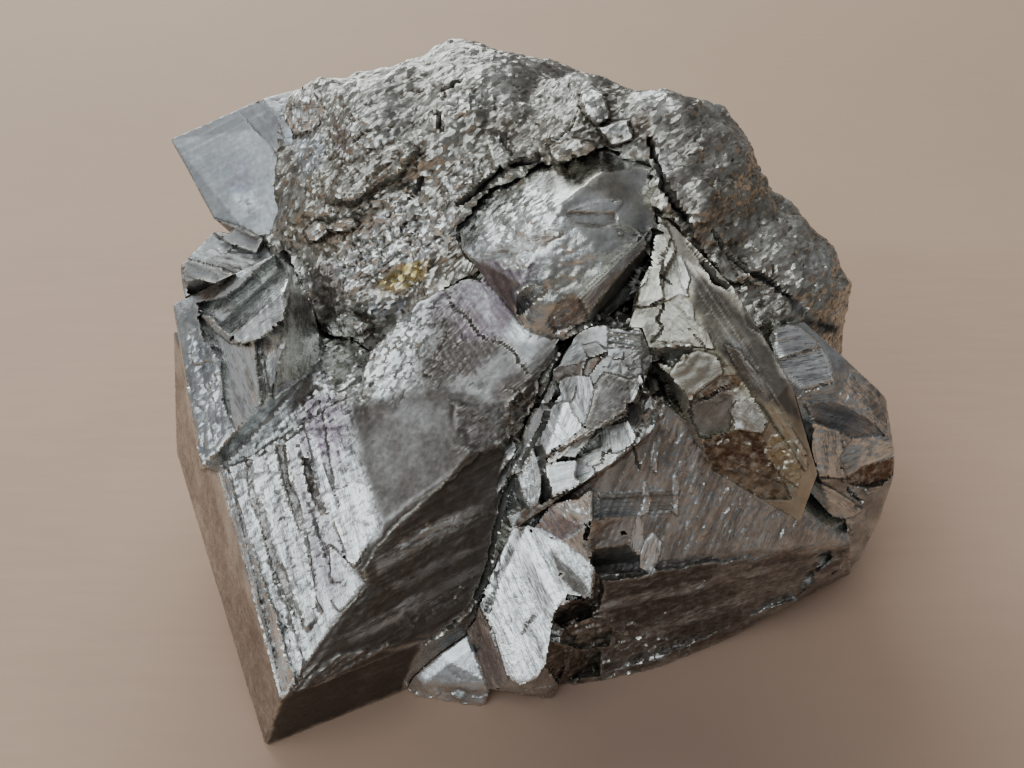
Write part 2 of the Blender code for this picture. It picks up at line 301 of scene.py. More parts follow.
def gap_to_line(spots: Array, line: Outline) -> tuple[Array, Array]:
    """Measures spots against an open line.

    Args:
        spots: places on the sheet.
        line: the line's points.

    Returns:
        Each spot's distance from the line, and how far along the line it is, from 0 to 1.
    """
    points = corners_of(line)
    lengths = np.linalg.norm(np.diff(points, axis=0), axis=1)
    starts = np.concatenate([[0], np.cumsum(lengths)])
    nearest = np.full(len(spots), np.inf)
    along = np.zeros(len(spots))
    for number, (start, end) in enumerate(zip(points, points[1:])):
        side = end - start
        offset = spots - start
        share = np.clip(offset @ side / (side @ side), 0, 1)
        gap = np.linalg.norm(offset - share[:, None] * side, axis=1)
        closer = gap < nearest
        nearest = np.where(closer, gap, nearest)
        along = np.where(closer, starts[number] + share * lengths[number], along)
    return nearest, along / starts[-1]


def way_to_outline(spots: Array, outline: Outline) -> Array:
    """Finds the shortest way onto an outline.

    Args:
        spots: places on the sheet.
        outline: the outline.

    Returns:
        The step from each spot to the nearest place on the outline.
    """
    corners = corners_of(outline)
    best = np.full(len(spots), np.inf)
    way = np.zeros_like(spots)
    for start, end in zip(corners, np.roll(corners, -1, axis=0)):
        side = end - start
        share = np.clip((spots - start) @ side / (side @ side), 0, 1)
        step = start + share[:, None] * side - spots
        far = (step * step).sum(axis=1)
        closer = far < best
        best = np.where(closer, far, best)
        way = np.where(closer[:, None], step, way)
    return way


def flat_facing(offsets: Array, outward: Array) -> Array:
    """Fits a plane.

    Args:
        offsets: points, measured from their middle.
        outward: a direction that leads out of the solid.

    Returns:
        The plane's direction, the way that leads out.
    """
    _, _, axes = np.linalg.svd(offsets, full_matrices=False)
    facing = axes[2]
    return facing if facing @ outward > 0 else -facing


class Stain(Enum):
    """The masks that a finish reads: attribute name and channel. Purple, blue and yellow are stains; rust
    is brown stain and painted shade; pale is pale tone and painted highlight; dark is painted shade in
    cracks, cavities and turned-away faces; matte is a dull coat that also paints shade; grain is the
    sparkle's share.
    """

    PURPLE = ("tint", 0)
    BLUE = ("tint", 1)
    RUST_AND_SHADE = ("tint", 2)
    YELLOW = ("tint", 3)
    PALE_AND_HIGHLIGHT = ("skin", 0)
    DARK_SHADE = ("skin", 1)
    MATTE_AND_SHADE = ("skin", 2)
    GRAIN = ("skin", 3)


PURPLE, BLUE, RUST_AND_SHADE, YELLOW, PALE_AND_HIGHLIGHT, DARK_SHADE, MATTE_AND_SHADE, GRAIN = Stain


@dataclass(frozen=True)
class Facet:
    """A flat growth face or break.

    Its plane is fitted to what lies under it, then it rises by mm towards the eye and leans by
    degrees to the right and upwards. It may carry one mask of its own: mostly painted highlight or
    painted shade that sets its tone, sometimes a stain.
    """

    outline: Outline
    lift: float = 0.0
    lean: tuple[float, float] = (0.0, 0.0)
    tint: Stain | None = None
    strength: float = 0.5
    soft: float = 0.0
    grain: float = 0.1


@dataclass(frozen=True)
class Lines:
    """Growth lines on a face: their run on the sheet, their spacing and height in mm."""

    outline: Outline
    run: tuple[float, float]
    pitch: float = 1.0
    height: float = 0.12
    strength: float = 1.0
    soft: float = 6.0


@dataclass(frozen=True)
class Chips:
    """A patch of small broken faces or grains: their size and height in mm, and their stretch."""

    outline: Outline
    size: float
    height: float
    seed: int
    soft: float = 6.0
    groove: float = 0.2
    run: tuple[float, float] = (1.0, -0.9)
    stretch: float = 1.0
    blocky: float = 0.0


@dataclass(frozen=True)
class Crack:
    """An open crack, or a fine one: its line, width on the sheet, and depth in mm."""

    line: Outline
    width: float
    depth: float


@dataclass(frozen=True)
class Wash:
    """A patch of stain, finish, painted highlight or painted shade, with how strong it is and how softly it
    ends.
    """

    tint: Stain
    outline: Outline
    strength: float = 1.0
    soft: float = 8.0
    broken: float = 0.5


# ---------------------------------------------------------------- the skin over a solid

# Growing the skin: a face is on the show side if it turns away by less than this, and isn't buried.
TURNED_AWAY = 0.1
BURIED_MM = 1.5
SHARP_EDGE = math.radians(18)
SMOOTH_EDGE = math.radians(32)
BEAD_MM = 0.05
CATCH_REACH = 0.5
FOLLOW_REACH = 0.55
RELAX_PULL = 0.6
RELAX_PUSH = 0.62
# Leaning on the neighbours: the widest gap that is closed, the widest closed whole, what is left.
LEAN_REACH_MM = 1.7
LEAN_FULL_MM = 0.9
SEAM_MM = 0.12
# Steps on the sheet: how far a clean edge drifts and a soft one wanders, how far past a mark's box to
# look, how far past a clean edge its mark reaches, the narrowest open crack, and the crack width at which
# its painted shade is full black.
DRIFT = 1.3
DRIFT_WIDTH_MM = 4.5
WANDER = 2.2
WANDER_WIDTH_MM = 1.6
PAST_BOX = 3.0
PAST_EDGE = 0.3
OPEN_CRACK = 5.5
BLACK_WIDTH = 5.0
# Facets: how far they may move, how much of their lean and lift is taken, their waves and streaks.
FACET_REACH_MM = 3.5
FLATTEST_SLOPE = 0.15
LEAN_SHARE = 0.7
LIFT_SHARE = 0.6
RIPPLE_MM = 0.075
RIPPLE_WIDTH_MM = 1.8
RIPPLE_RUN = 0.18
FACET_STREAK = 0.8
# Growth lines: where along a tooth its crest lies, and how far the lines sway, in teeth.
TOOTH_RISE = 0.75
SWAY = 0.35
SWAY_WIDTH = 1.7
SWAY_RUN = 0.12
# Chips: how much a grain tilts and steps, and its seam's width in grains.
CHIP_TILT = 2.4
CHIP_STEP = 0.45
CHIP_SEAM = 0.12
# Cracks: how wide the tips stay, and how much the width varies along the crack.
CRACK_TIP = 0.35
CRACK_VARY = 0.35
CRACK_VARY_WIDTH_MM = 4.0
BLOTCH_WIDTH_MM = 5.0
BEND_REACH = 9.0


def tree_of(mesh: bpy.types.Mesh) -> BVHTree:
    """Returns a mesh's faces, in mm, as a tree that finds the nearest place on them."""
    corners = [vert.co / MM for vert in mesh.vertices]
    return BVHTree.FromPolygons(corners, [poly.vertices[:] for poly in mesh.polygons])


NODE_TREES = {name: tree_of(node.data) for name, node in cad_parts.items()}


class Skin:
    """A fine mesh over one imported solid. Its points are moved, then it is written as a piece."""

    def __init__(self, node: str, voxel_mm: float, splits: int) -> None:
        """Grows the skin over the solid and splits its faces finer on the show side.

        Args:
            node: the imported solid's name.
            voxel_mm: the mesh's spacing at the back.
            splits: how often faces on the show side are split in four.
        """
        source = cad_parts[node].data
        self.node = node
        self.solid = NODE_TREES[node]
        self.mesh = self.grow(source, voxel_mm)
        self.settle()
        for _ in range(splits):
            self.split_show_side()
            self.settle()
        self.read()
        self.spacing = voxel_mm / 2**splits
        self.catch_edges(source)
        self.measure()
        self.height = np.zeros(len(self.points))
        self.masks = {name: np.zeros((len(self.points), 4)) for name in ("tint", "skin")}
        self.lines = np.zeros((len(self.points), 3))

    def grow(self, source: bpy.types.Mesh, voxel_mm: float) -> bpy.types.Mesh:
        """Lays an even mesh over a solid.

        Args:
            source: the solid's mesh.
            voxel_mm: how far apart the new mesh's points are.

        Returns:
            The new mesh.
        """
        scratch = bpy.data.objects.new("scratch", source.copy())
        bpy.context.scene.collection.objects.link(scratch)
        remesh = scratch.modifiers.new("remesh", "REMESH")
        remesh.mode = "VOXEL"
        remesh.voxel_size = voxel_mm * MM
        graph = bpy.context.evaluated_depsgraph_get()
        mesh = bpy.data.meshes.new_from_object(scratch.evaluated_get(graph))
        bpy.data.objects.remove(scratch, do_unlink=True)
        return mesh

    def settle(self) -> None:
        """Puts every point of the mesh on the solid's surface."""
        for vert in self.mesh.vertices:
            spot = self.solid.find_nearest(vert.co / MM)[0]
            if spot is not None:
                vert.co = spot * MM

    def split_show_side(self) -> None:
        """Splits in four the faces that turn to the show side and aren't buried."""
        others = [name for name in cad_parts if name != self.node]
        trees = [NODE_TREES[name] for name in others]
        eye = Vector(SHOW_SIDE.eye_mm)
        body = bmesh.new()
        body.from_mesh(self.mesh)
        chosen = []
        for face in body.faces:
            middle = face.calc_center_median() / MM
            look = middle - eye
            far = look.length - BURIED_MM
            look.normalize()
            if face.normal.dot(look) > TURNED_AWAY:
                continue
            if any(tree.ray_cast(eye, look, far)[0] is not None for tree in trees):
                continue
            chosen.append(face)
        edges = list({edge for face in chosen for edge in face.edges})
        bmesh.ops.subdivide_edges(body, edges=edges, cuts=1, use_grid_fill=True)
        bmesh.ops.triangulate(body, faces=[face for face in body.faces if len(face.verts) > 4])
        body.to_mesh(self.mesh)
        body.free()

    def catch_edges(self, source: bpy.types.Mesh) -> None:
        """Moves the points that lie beside a sharp edge of the solid onto that edge.

        Args:
            source: the solid's mesh.
        """
        body = bmesh.new()
        body.from_mesh(source)
        beads = []
        for edge in body.edges:
            if len(edge.link_faces) != 2 or edge.calc_face_angle() < SHARP_EDGE:
                continue
            start, end = (np.array(vert.co) / MM for vert in edge.verts)
            count = max(2, round(np.linalg.norm(end - start) / BEAD_MM))
            beads.extend(start + (end - start) * share for share in np.linspace(0, 1, count))
        body.free()
        if not beads:
            return
        tree = KDTree(len(beads))
        for number, bead in enumerate(beads):
            tree.insert(bead, number)
        tree.balance()
        for number, point in enumerate(self.points):
            bead, _, gap = tree.find(point)
            if gap < CATCH_REACH * self.spacing:
                self.points[number] = bead

    def measure(self) -> None:
        """Takes the skin's own measures afresh: directions, places on the sheet, what is shown."""
        self.mesh.vertices.foreach_set("co", (self.points * MM).ravel())
        self.mesh.update()
        self.normals = self.point_normals()
        self.rest = self.points.copy()
        self.spots = SHOW_SIDE.sheet(self.points)
        drift = [smooth_noise(self.points, DRIFT_WIDTH_MM, seed, 2) for seed in (15, 16)]
        self.wavy = self.spots + DRIFT * np.stack(drift, axis=1)
        wander = [smooth_noise(self.points, WANDER_WIDTH_MM, seed, 2) for seed in (11, 23)]
        self.ragged = self.spots + WANDER * np.stack(wander, axis=1)
        turn = (self.normals * SHOW_SIDE.towards(self.points)).sum(axis=1)
        self.shown = ease(-0.05, 0.15, turn)

    def follow(self, outlines: Iterable[Outline]) -> None:
        """Slides the points beside each outline onto it, so that an edge there is clean.

        Args:
            outlines: the outlines to follow.
        """
        reach = FOLLOW_REACH * self.spacing / STEP_MM
        eye = np.array(SHOW_SIDE.eye_mm)
        for outline in outlines:
            corners = corners_of(outline)
            low, high = corners.min(axis=0) - reach, corners.max(axis=0) + reach
            near = ((self.wavy > low) & (self.wavy < high)).all(axis=1) & (self.shown > 0.5)
            if not near.any():
                continue
            where = np.flatnonzero(near)
            slide = way_to_outline(self.wavy[where], outline)
            close = np.linalg.norm(slide, axis=1) < reach
            where, slide = where[close], slide[close]
            rays = SHOW_SIDE.rays(self.spots[where] + slide)
            normals = self.normals[where]
            depth = ((self.points[where] - eye) * normals).sum(axis=1) / (rays * normals).sum(axis=1)
            self.points[where] = eye + rays * depth[:, None]
            self.spots[where] += slide
            self.wavy[where] += slide
        self.measure()

    def relax(self, rounds: int) -> None:
        """Evens out lumps, with every other step pushing back out to keep the size.

        Args:
            rounds: how many pairs of steps to take.
        """
        for number in range(2 * rounds):
            pull = RELAX_PULL if number % 2 == 0 else -RELAX_PUSH
            self.points = self.points + pull * (self.around(self.points) - self.points)
        self.measure()

    def lean_on(self, others: Iterable[str]) -> None:
        """Closes the gap to the neighbours, except along the open cracks.

        Args:
            others: the neighbours' node names.
        """
        away = np.ones(len(self.points))
        for crack in CRACKS:
            if crack.width >= OPEN_CRACK:
                gap, _ = gap_to_line(self.spots, crack.line)
                away = np.minimum(away, ease(crack.width, 1.8 * crack.width, gap))
        trees = [NODE_TREES[name] for name in others]
        for number, point in enumerate(self.points):
            if away[number] == 0:
                continue
            found = [tree.find_nearest(point, LEAN_REACH_MM) for tree in trees]
            found = [hit for hit in found if hit[0] is not None]
            if not found:
                continue
            spot, _, _, gap = min(found, key=lambda hit: hit[3])
            share = min(1.0, (LEAN_REACH_MM - gap) / (LEAN_REACH_MM - LEAN_FULL_MM))
            move = away[number] * share * max(0.0, gap - SEAM_MM) / max(gap, 1e-6)
            self.points[number] = point + (np.array(spot) - point) * move
        self.measure()

    def read(self) -> None:
        """Reads the mesh's points and edges into arrays."""
        points = np.empty(len(self.mesh.vertices) * 3)
        self.mesh.vertices.foreach_get("co", points)
        self.points = points.reshape(-1, 3) / MM
        edges = np.empty(len(self.mesh.edges) * 2, np.int64)
        self.mesh.edges.foreach_get("vertices", edges)
        self.edges = edges.reshape(-1, 2)

    def point_normals(self) -> Array:
        """Reads the directions that the mesh's points face.

        Returns:
            One outward direction for each point.
        """
        normals = np.empty(len(self.mesh.vertices) * 3)
        self.mesh.vertices.foreach_get("normal", normals)
        return normals.reshape(-1, 3)

    def around(self, values: Array) -> Array:
        """Averages values over each point's neighbours.

        Args:
            values: one value or row for each point.

        Returns:
            The means, in the same form.
        """
        here = np.concatenate([self.edges[:, 0], self.edges[:, 1]])
        there = np.concatenate([self.edges[:, 1], self.edges[:, 0]])
        count = np.maximum(np.bincount(here, minlength=len(values)), 1)
        columns = values.reshape(len(values), -1).T
        sums = [np.bincount(here, weights=column[there], minlength=len(values)) for column in columns]
        return np.stack([total / count for total in sums], axis=1).reshape(values.shape)

    def close_to(self, spots: Array, outline: Outline, margin: float) -> Array:
        """Picks the shown points that may lie on a mark.

        Args:
            spots: the points' places on the sheet.
            outline: the mark's outline or line.
            margin: how far outside its box to look, in sheet steps.

        Returns:
            True for each point to look at.
        """
        corners = corners_of(outline)
        inside = (spots > corners.min(axis=0) - margin) & (spots < corners.max(axis=0) + margin)
        return inside.all(axis=1) & (self.shown > 0)

    def sheet_weight(self, outline: Outline, soft: float) -> Array:
        """Weighs the skin's points by an outline on the show side.

        Args:
            outline: the outline on the sheet.
            soft: how wide its edge is, in sheet steps; at 0 the edge is clean.

        Returns:
            1 for each point inside the outline, easing to 0 outside it.
        """
        spots = self.ragged if soft else self.wavy
        near = self.close_to(spots, outline, soft + PAST_BOX)
        inside = depth_inside(spots[near], outline)
        weight = np.zeros(len(self.points))
        if soft:
            weight[near] = ease(-0.5 * soft, 0.5 * soft, inside) * self.shown[near]
        else:
            weight[near] = (inside > -PAST_EDGE) * self.shown[near]
        return weight

    def cut_facet(self, facet: Facet) -> None:
        """Moves the skin inside a facet's outline onto its plane, along the lines of sight.

        Args:
            facet: the facet to cut.
        """
        weight = self.sheet_weight(facet.outline, facet.soft)
        live = np.flatnonzero(weight > 0)
        if len(live) < 4:
            return
        points = self.rest[live]
        middle = points.mean(axis=0)
        facing = flat_facing(points - middle, self.normals[live].mean(axis=0))
        rightward, upward, _ = SHOW_SIDE.frame()
        lean_right, lean_up = (math.tan(math.radians(LEAN_SHARE * angle)) for angle in facet.lean)
        facing = facing + lean_right * rightward + lean_up * upward
        offsets = points - np.array(SHOW_SIDE.eye_mm)
        far = np.linalg.norm(offsets, axis=1)
        rays = offsets / far[:, None]
        slope = np.minimum(rays @ facing, -FLATTEST_SLOPE)
        level = ((middle - np.array(SHOW_SIDE.eye_mm)) @ facing) / slope
        rise = np.clip(far - level + LIFT_SHARE * facet.lift, -FACET_REACH_MM, FACET_REACH_MM)
        share = weight[live][:, None]
        self.points[live] += share * (points - rays * rise[:, None] - self.points[live])
        for mask in self.masks.values():
            mask[live] *= 1 - share
        self.add_mask(GRAIN, facet.grain * weight)
        self.streak_facet(live, share[:, 0])
        # The facet's own mask: mostly painted highlight or painted shade for the tone it shows.
        if facet.tint:
            self.add_mask(facet.tint, facet.strength * weight * self.blotches(0.25))

    def streak_facet(self, live: Array, weight: Array) -> None:
        """Waves a facet a little along its length, and notes streaks there for the finish.

        Args:
            live: the numbers of the facet's points.
            weight: how much of the streaking each of them takes.
        """
        spots = self.spots[live]
        _, _, axes = np.linalg.svd(spots - spots.mean(axis=0), full_matrices=False)
        place = STEP_MM * spots @ axes.T
        ripple = np.stack([place[:, 1], RIPPLE_RUN * place[:, 0], 0 * place[:, 0]], axis=1)
        self.height[live] += weight * RIPPLE_MM * smooth_noise(ripple, RIPPLE_WIDTH_MM, 17, 2)
        noted = np.stack([place[:, 1], place[:, 0], FACET_STREAK * weight], axis=1)
        self.lines[live] = np.where(weight[:, None] > 0.5, noted, self.lines[live])

    def rule_lines(self, lines: Lines) -> None:
        """Works growth lines into the skin: slanting teeth of uneven height.

        Args:
            lines: the lines' patch, run, spacing and height.
        """
        weight = self.sheet_weight(lines.outline, lines.soft)
        run = np.array(lines.run) / math.hypot(*lines.run)
        across = STEP_MM * (self.spots @ np.array([-run[1], run[0]]))
        along = STEP_MM * (self.spots @ run)
        place = np.stack([across, SWAY_RUN * along, 0 * across], axis=1)
        bent = across + SWAY * lines.pitch * smooth_noise(place, SWAY_WIDTH * lines.pitch, 5, 2)
        band = bent / lines.pitch
        step = np.floor(band)
        draw = cell_random(np.stack([step, 0 * step, 0 * step], axis=1), 31)
        share = band - step
        tooth = np.where(share < TOOTH_RISE, share / TOOTH_RISE, (1 - share) / (1 - TOOTH_RISE)) - 0.5
        level = tooth * (0.4 + 1.1 * draw[:, 0]) + 0.6 * (draw[:, 1] - 0.5)
        self.height += weight * lines.height * level
        noted = weight * lines.strength
        stronger = noted > self.lines[:, 2]
        self.lines = np.where(stronger[:, None], np.stack([bent, along, noted], axis=1), self.lines)

    def chip(self, chips: Chips) -> None:
        """Breaks a patch of the skin into small tilted faces, drawn out along their run if stretched.

        Args:
            chips: the patch, and its grains' size, height and draw.
        """
        place = self.rest
        if chips.stretch > 1:
            run = np.array(chips.run) / math.hypot(*chips.run)
            along = STEP_MM * (self.spots @ run) / chips.stretch
            across = STEP_MM * (self.spots @ np.array([-run[1], run[0]]))
            place = np.stack([across, along, 0 * across], axis=1)
        self.chip_where(self.sheet_weight(chips.outline, chips.soft), place, chips)

    def chip_where(self, weight: Array, place: Array, chips: Chips) -> None:
        """Breaks the skin into small tilted faces.

        Args:
            weight: how much of the breaking each point takes, 0 to 1.
            place: where each point lies among the grains, in mm.
            chips: the grains' size, height and draw.
        """
        live = weight > 0
        grains = grains_at(place[live], chips.size, chips.seed, blocky=chips.blocky)
        tilt = CHIP_TILT * (grains.offset * (grains.draw - 0.5)).sum(axis=1)
        level = CHIP_STEP * (grains.draw[:, 0] - 0.5)
        seam = -chips.groove * ease(CHIP_SEAM, 0.0, grains.gap)
        self.height[live] += weight[live] * chips.height * (tilt + level + seam)

    def open_crack(self, crack: Crack) -> None:
        """Sinks a crack into the skin and paints shade into it.

        Args:
            crack: the crack's line, width and depth.
        """
        near = self.close_to(self.ragged, crack.line, 2 * crack.width)
        if not near.any():
            return
        gap, along = gap_to_line(self.ragged[near], crack.line)
        taper = CRACK_TIP + (1 - CRACK_TIP) * np.sqrt(np.clip(4 * along * (1 - along), 0, 1))
        vary = 1 + CRACK_VARY * smooth_noise(self.rest[near], CRACK_VARY_WIDTH_MM, 41)
        half = 0.5 * crack.width * taper * vary
        inside = ease(1.0, 0.55, gap / np.maximum(half, 0.3)) * self.shown[near]
        self.height[near] -= crack.depth * inside
        # Painted shade in the crack: the dark mask, fuller in wider cracks.
        dark = self.masks["skin"][near]
        dark[:, 1] = np.maximum(dark[:, 1], inside * min(1.0, crack.width / BLACK_WIDTH))
        self.masks["skin"][near] = dark

    def wash(self, wash: Wash) -> None:
        """Lays a patch of one mask over the skin, broken up by noise: a stain, a finish, or painted
        highlight or shade.
        """
        weight = self.sheet_weight(wash.outline, wash.soft) * wash.strength
        self.add_mask(wash.tint, weight * self.blotches(wash.broken))

    def blotches(self, amount: float) -> Array:
        """Breaks up a stain: 1 all over if amount is 0, and patches of 0 to 1.3 if it is 1."""
        cloud = smooth_noise(self.rest, BLOTCH_WIDTH_MM, 61, 3)
        return 1 - amount + amount * np.clip(0.65 + 1.1 * cloud, 0, 1.3)

    def add_mask(self, tint: Stain, weight: Array) -> None:
        """Adds weight to a mask, up to 1."""
        name, channel = tint.value
        self.masks[name][:, channel] = np.clip(self.masks[name][:, channel] + weight, 0, 1)

    def shift(self) -> None:
        """Moves the points out along the solid's own directions by the height worked so far."""
        self.points = self.points + self.normals * self.height[:, None]
        self.height = np.zeros(len(self.points))

    def bends(self) -> Array:
        """Measures how sharply the skin bends.

        Returns:
            About 1 for each point on an edge, 0 on a flat and -1 in a groove.
        """
        standing = ((self.points - self.around(self.points)) * self.normals).sum(axis=1)
        wide = self.around(self.around(standing))
        return BEND_REACH * (0.6 * standing + 0.4 * wide)

    def write(self, name: str) -> bpy.types.Object:
        """Writes the skin as a piece of the scene.

        Args:
            name: the piece's name.

        Returns:
            The new object, riding on the specimen's body in place of its solid.
        """
        mesh = self.mesh
        mesh.name = name
        mesh.vertices.foreach_set("co", (self.points * MM).ravel())
        mesh.update()
        mesh.shade_smooth()
        mesh.set_sharp_from_angle(angle=SMOOTH_EDGE)
        bends = self.bends()
        nothing = np.zeros(len(bends))
        # Edges that stand out, lightened in the finish, and hollows, darkened in it.
        surface_marks = np.stack([np.clip(bends, 0, 1), np.clip(-bends, 0, 1), nothing, 1 + nothing], axis=1)
        for key, values in {**self.masks, "surface_marks": surface_marks}.items():
            layer = mesh.attributes.new(key, "FLOAT_COLOR", "POINT")
            layer.data.foreach_set("color", values.astype(np.float32).ravel())
        layer = mesh.attributes.new("lines", "FLOAT_VECTOR", "POINT")
        layer.data.foreach_set("vector", self.lines.astype(np.float32).ravel())
        piece = bpy.data.objects.new(name, mesh)
        bpy.context.scene.collection.objects.link(piece)
        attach(piece, BODY)
        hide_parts(self.node)
        return piece


# ---------------------------------------------------------------- finishes

Node = bpy.types.Node
Socket = bpy.types.NodeSocket
Tree = bpy.types.NodeTree


@dataclass(frozen=True)
class Cloud:
    """A soft noise for a finish: how fine it is, its detail and its roughness."""

    scale: float
    detail: float
    rough: float


class Graph:
    """Adds and joins the nodes of one finish or one shared effect."""

    def __init__(self, tree: Tree) -> None:
        """Starts on an empty node tree."""
        self.tree = tree

    def add(self, kind: str, inputs: dict | None = None, **settings: object) -> Node:
        """Adds a node.

        Args:
            kind: Blender's name for the node.
            inputs: for each input's name or number, a value or the socket that feeds it.
            settings: the node's own settings.

        Returns:
            The new node.
        """
        node = self.tree.nodes.new(kind)
        for name, value in settings.items():
            setattr(node, name, value)
        for name, value in (inputs or {}).items():
            self.feed(node.inputs[name], value)
        return node

    def feed(self, socket: Socket, value: object) -> None:
        """Joins value to a socket, or sets the socket to it.

        Args:
            socket: the socket to feed.
            value: another socket, or a plain value.
        """
        if isinstance(value, Socket):
            self.tree.links.new(value, socket)
        else:
            socket.default_value = value

    def math(self, operation: str, first: object, second: object = 0.0) -> Socket:
        """Returns a sum, product or other Math of two values."""
        node = self.add("ShaderNodeMath", {0: first, 1: second}, operation=operation)
        return node.outputs[0]

    def vector(self, operation: str, first: object, second: object = None) -> Socket:
        """Adds Vector Math.

        Args:
            operation: Blender's name for it.
            first: a vector.
            second: the other vector or, for SCALE, a number.

        Returns:
            The socket with the result.
        """
        node = self.add("ShaderNodeVectorMath", {0: first}, operation=operation)
        if operation == "SCALE":
            self.feed(node.inputs["Scale"], second)
        elif second is not None:
            self.feed(node.inputs[1], second)
        return node.outputs[0]

    def remap(
        self, value: object, low: float, high: float, start: float = 0.0, end: float = 1.0
    ) -> Socket:
        """Returns value carried from low..high to start..end, and held there."""
        settings = {"Value": value, "From Min": low, "From Max": high, "To Min": start, "To Max": end}
        return self.add("ShaderNodeMapRange", settings).outputs["Result"]

    def mix(self, factor: object, first: object, second: object) -> Socket:
        """Mixes two colours.

        Args:
            factor: how much of the second to take, 0 to 1.
            first: the colour at 0.
            second: the colour at 1.

        Returns:
            The socket with the mix.
        """
        node = self.add("ShaderNodeMix", data_type="RGBA", clamp_factor=True)
        self.feed(node.inputs["Factor"], factor)
        for name, value in (("A", first), ("B", second)):
            socket = next(s for s in node.inputs if s.name == name and s.type == "RGBA")
            self.feed(socket, (*value, 1.0) if isinstance(value, tuple) and len(value) == 3 else value)
        return next(s for s in node.outputs if s.type == "RGBA")

    def noise(self, place: object, cloud: Cloud) -> Socket:
        """Returns soft noise, 0 to 1, at a place."""
        look = {"Scale": cloud.scale, "Detail": cloud.detail, "Roughness": cloud.rough}
        return self.add("ShaderNodeTexNoise", {"Vector": place, **look}).outputs["Fac"]

    def attribute(self, name: str) -> Node:
        """Reads one of the skin's masks."""
        return self.add("ShaderNodeAttribute", attribute_name=name, attribute_type="GEOMETRY")

    def group(self, tree: Tree, inputs: dict) -> Node:
        """Places a shared effect with this finish's own values.

        Args:
            tree: the effect.
            inputs: a value or a socket for each of its inputs, by name.

        Returns:
            The placed effect.
        """
        node = self.add("ShaderNodeGroup", node_tree=tree)
        for name, value in inputs.items():
            self.feed(node.inputs[name], value)
        return node


FLOAT, VECTOR, COLOUR = "NodeSocketFloat", "NodeSocketVector", "NodeSocketColor"
Kinds = dict[str, str]

# Growth lines: how fast streaks change along their run, the fine ones' share, and the noise that
# counts as dark and as bright.
FINE_STREAKS = Cloud(2.6, 3.0, 0.6)
FINE_RUN = 0.22
FINE_SHARE = 0.55
BROAD_STREAKS = Cloud(0.9, 2.0, 0.5)
BROAD_RUN = 0.08
STREAK_BOUNDS = (0.41, 0.59)
# Grains: the way they run, and how much longer they are that way.
GRAIN_RUN = (0.74, 0.62, 0.26)
GRAIN_SQUEEZE = 0.6
# Stains, with rust that also paints shade, then the matte coat with its painted shade, the pale painted
# highlight, lighter edges, darker hollows and the painted shade in cracks.
STAIN_CLOUD = Cloud(900.0, 4.0, 0.65)
STAIN_SHIFT_M = 0.013
STAIN_COLOURS: dict[str, Colour] = {
    "Purple": (0.20, 0.155, 0.20),
    "Blue": (0.27, 0.33, 0.44),
    "Rust and shade": (0.115, 0.072, 0.048),
    "Yellow": (0.62, 0.46, 0.09),
}
MATTE_AND_SHADE_COLOUR: Colour = (0.105, 0.092, 0.082)
PALE_AND_HIGHLIGHT_COLOUR: Colour = (0.86, 0.88, 0.87)
EDGE_PALE_COLOUR: Colour = (0.82, 0.79, 0.69)
HOLLOW_DARK_COLOUR: Colour = (0.075, 0.052, 0.035)
CRACK_SHADE_COLOUR: Colour = (0.012, 0.009, 0.007)
MATTE_AND_SHADE_COVER = 0.92
MATTE_ROUGHER = 0.3
EDGE_SMOOTHER = 0.08
HOLLOW_CLOUD = Cloud(650.0, 3.0, 0.6)
HOLLOW_ROUGHER = 0.3
HOLLOW_DULLER = 0.5
CRACK_ROUGHER = 0.5
GLOSSIEST = 0.08
DULLEST_METAL = 0.1
# The metal's broad change of tone, and its fine change of gloss.
TONE_CLOUD = Cloud(160.0, 5.0, 0.6)
GLOSS_CLOUD = Cloud(1500.0, 3.0, 0.6)


def new_effect(name: str, inputs: Kinds, outputs: Kinds) -> tuple[Graph, Node, Node]:
    """Starts a shared effect.

    Args:
        name: the effect's name.
        inputs: the type of each input, by name.
        outputs: the type of each output, by name.

    Returns:
        Its graph, and the nodes that hold its inputs and its outputs.
    """
    tree = bpy.data.node_groups.new(name, "ShaderNodeTree")
    for label, kind in inputs.items():
        tree.interface.new_socket(name=label, in_out="INPUT", socket_type=kind)
    for label, kind in outputs.items():
        tree.interface.new_socket(name=label, in_out="OUTPUT", socket_type=kind)
    graph = Graph(tree)
    return graph, graph.add("NodeGroupInput"), graph.add("NodeGroupOutput")


def growth_line_effect() -> Tree:
    """Builds the growth lines that run along each striated face, out of fine and broad streaks.

    Returns:
        The effect.
    """
    graph, given, result = new_effect(
        "growth_lines", {"Lines": VECTOR, "Per mm": FLOAT}, {"Height": FLOAT, "Streak": FLOAT}
    )
    parts = graph.add("ShaderNodeSeparateXYZ", {0: given.outputs["Lines"]})
    across = graph.math("MULTIPLY", parts.outputs[0], given.outputs["Per mm"])
    along = graph.math("MULTIPLY", parts.outputs[1], FINE_RUN)
    fine_place = graph.add("ShaderNodeCombineXYZ", {0: across, 1: along}).outputs[0]
    fine = graph.noise(fine_place, FINE_STREAKS)
    along = graph.math("MULTIPLY", parts.outputs[1], BROAD_RUN)
    broad_place = graph.add("ShaderNodeCombineXYZ", {0: parts.outputs[0], 1: along}).outputs[0]
    broad = graph.noise(broad_place, BROAD_STREAKS)
    fine = graph.math("MULTIPLY", fine, FINE_SHARE)
    both = graph.math("ADD", fine, graph.math("MULTIPLY", broad, 1.0 - FINE_SHARE))
    strength = parts.outputs[2]
    graph.feed(result.inputs["Height"], graph.math("MULTIPLY", both, strength))
    streak = graph.remap(both, *STREAK_BOUNDS, -1.0, 1.0)
    graph.feed(result.inputs["Streak"], graph.math("MULTIPLY", streak, strength))
    return graph.tree


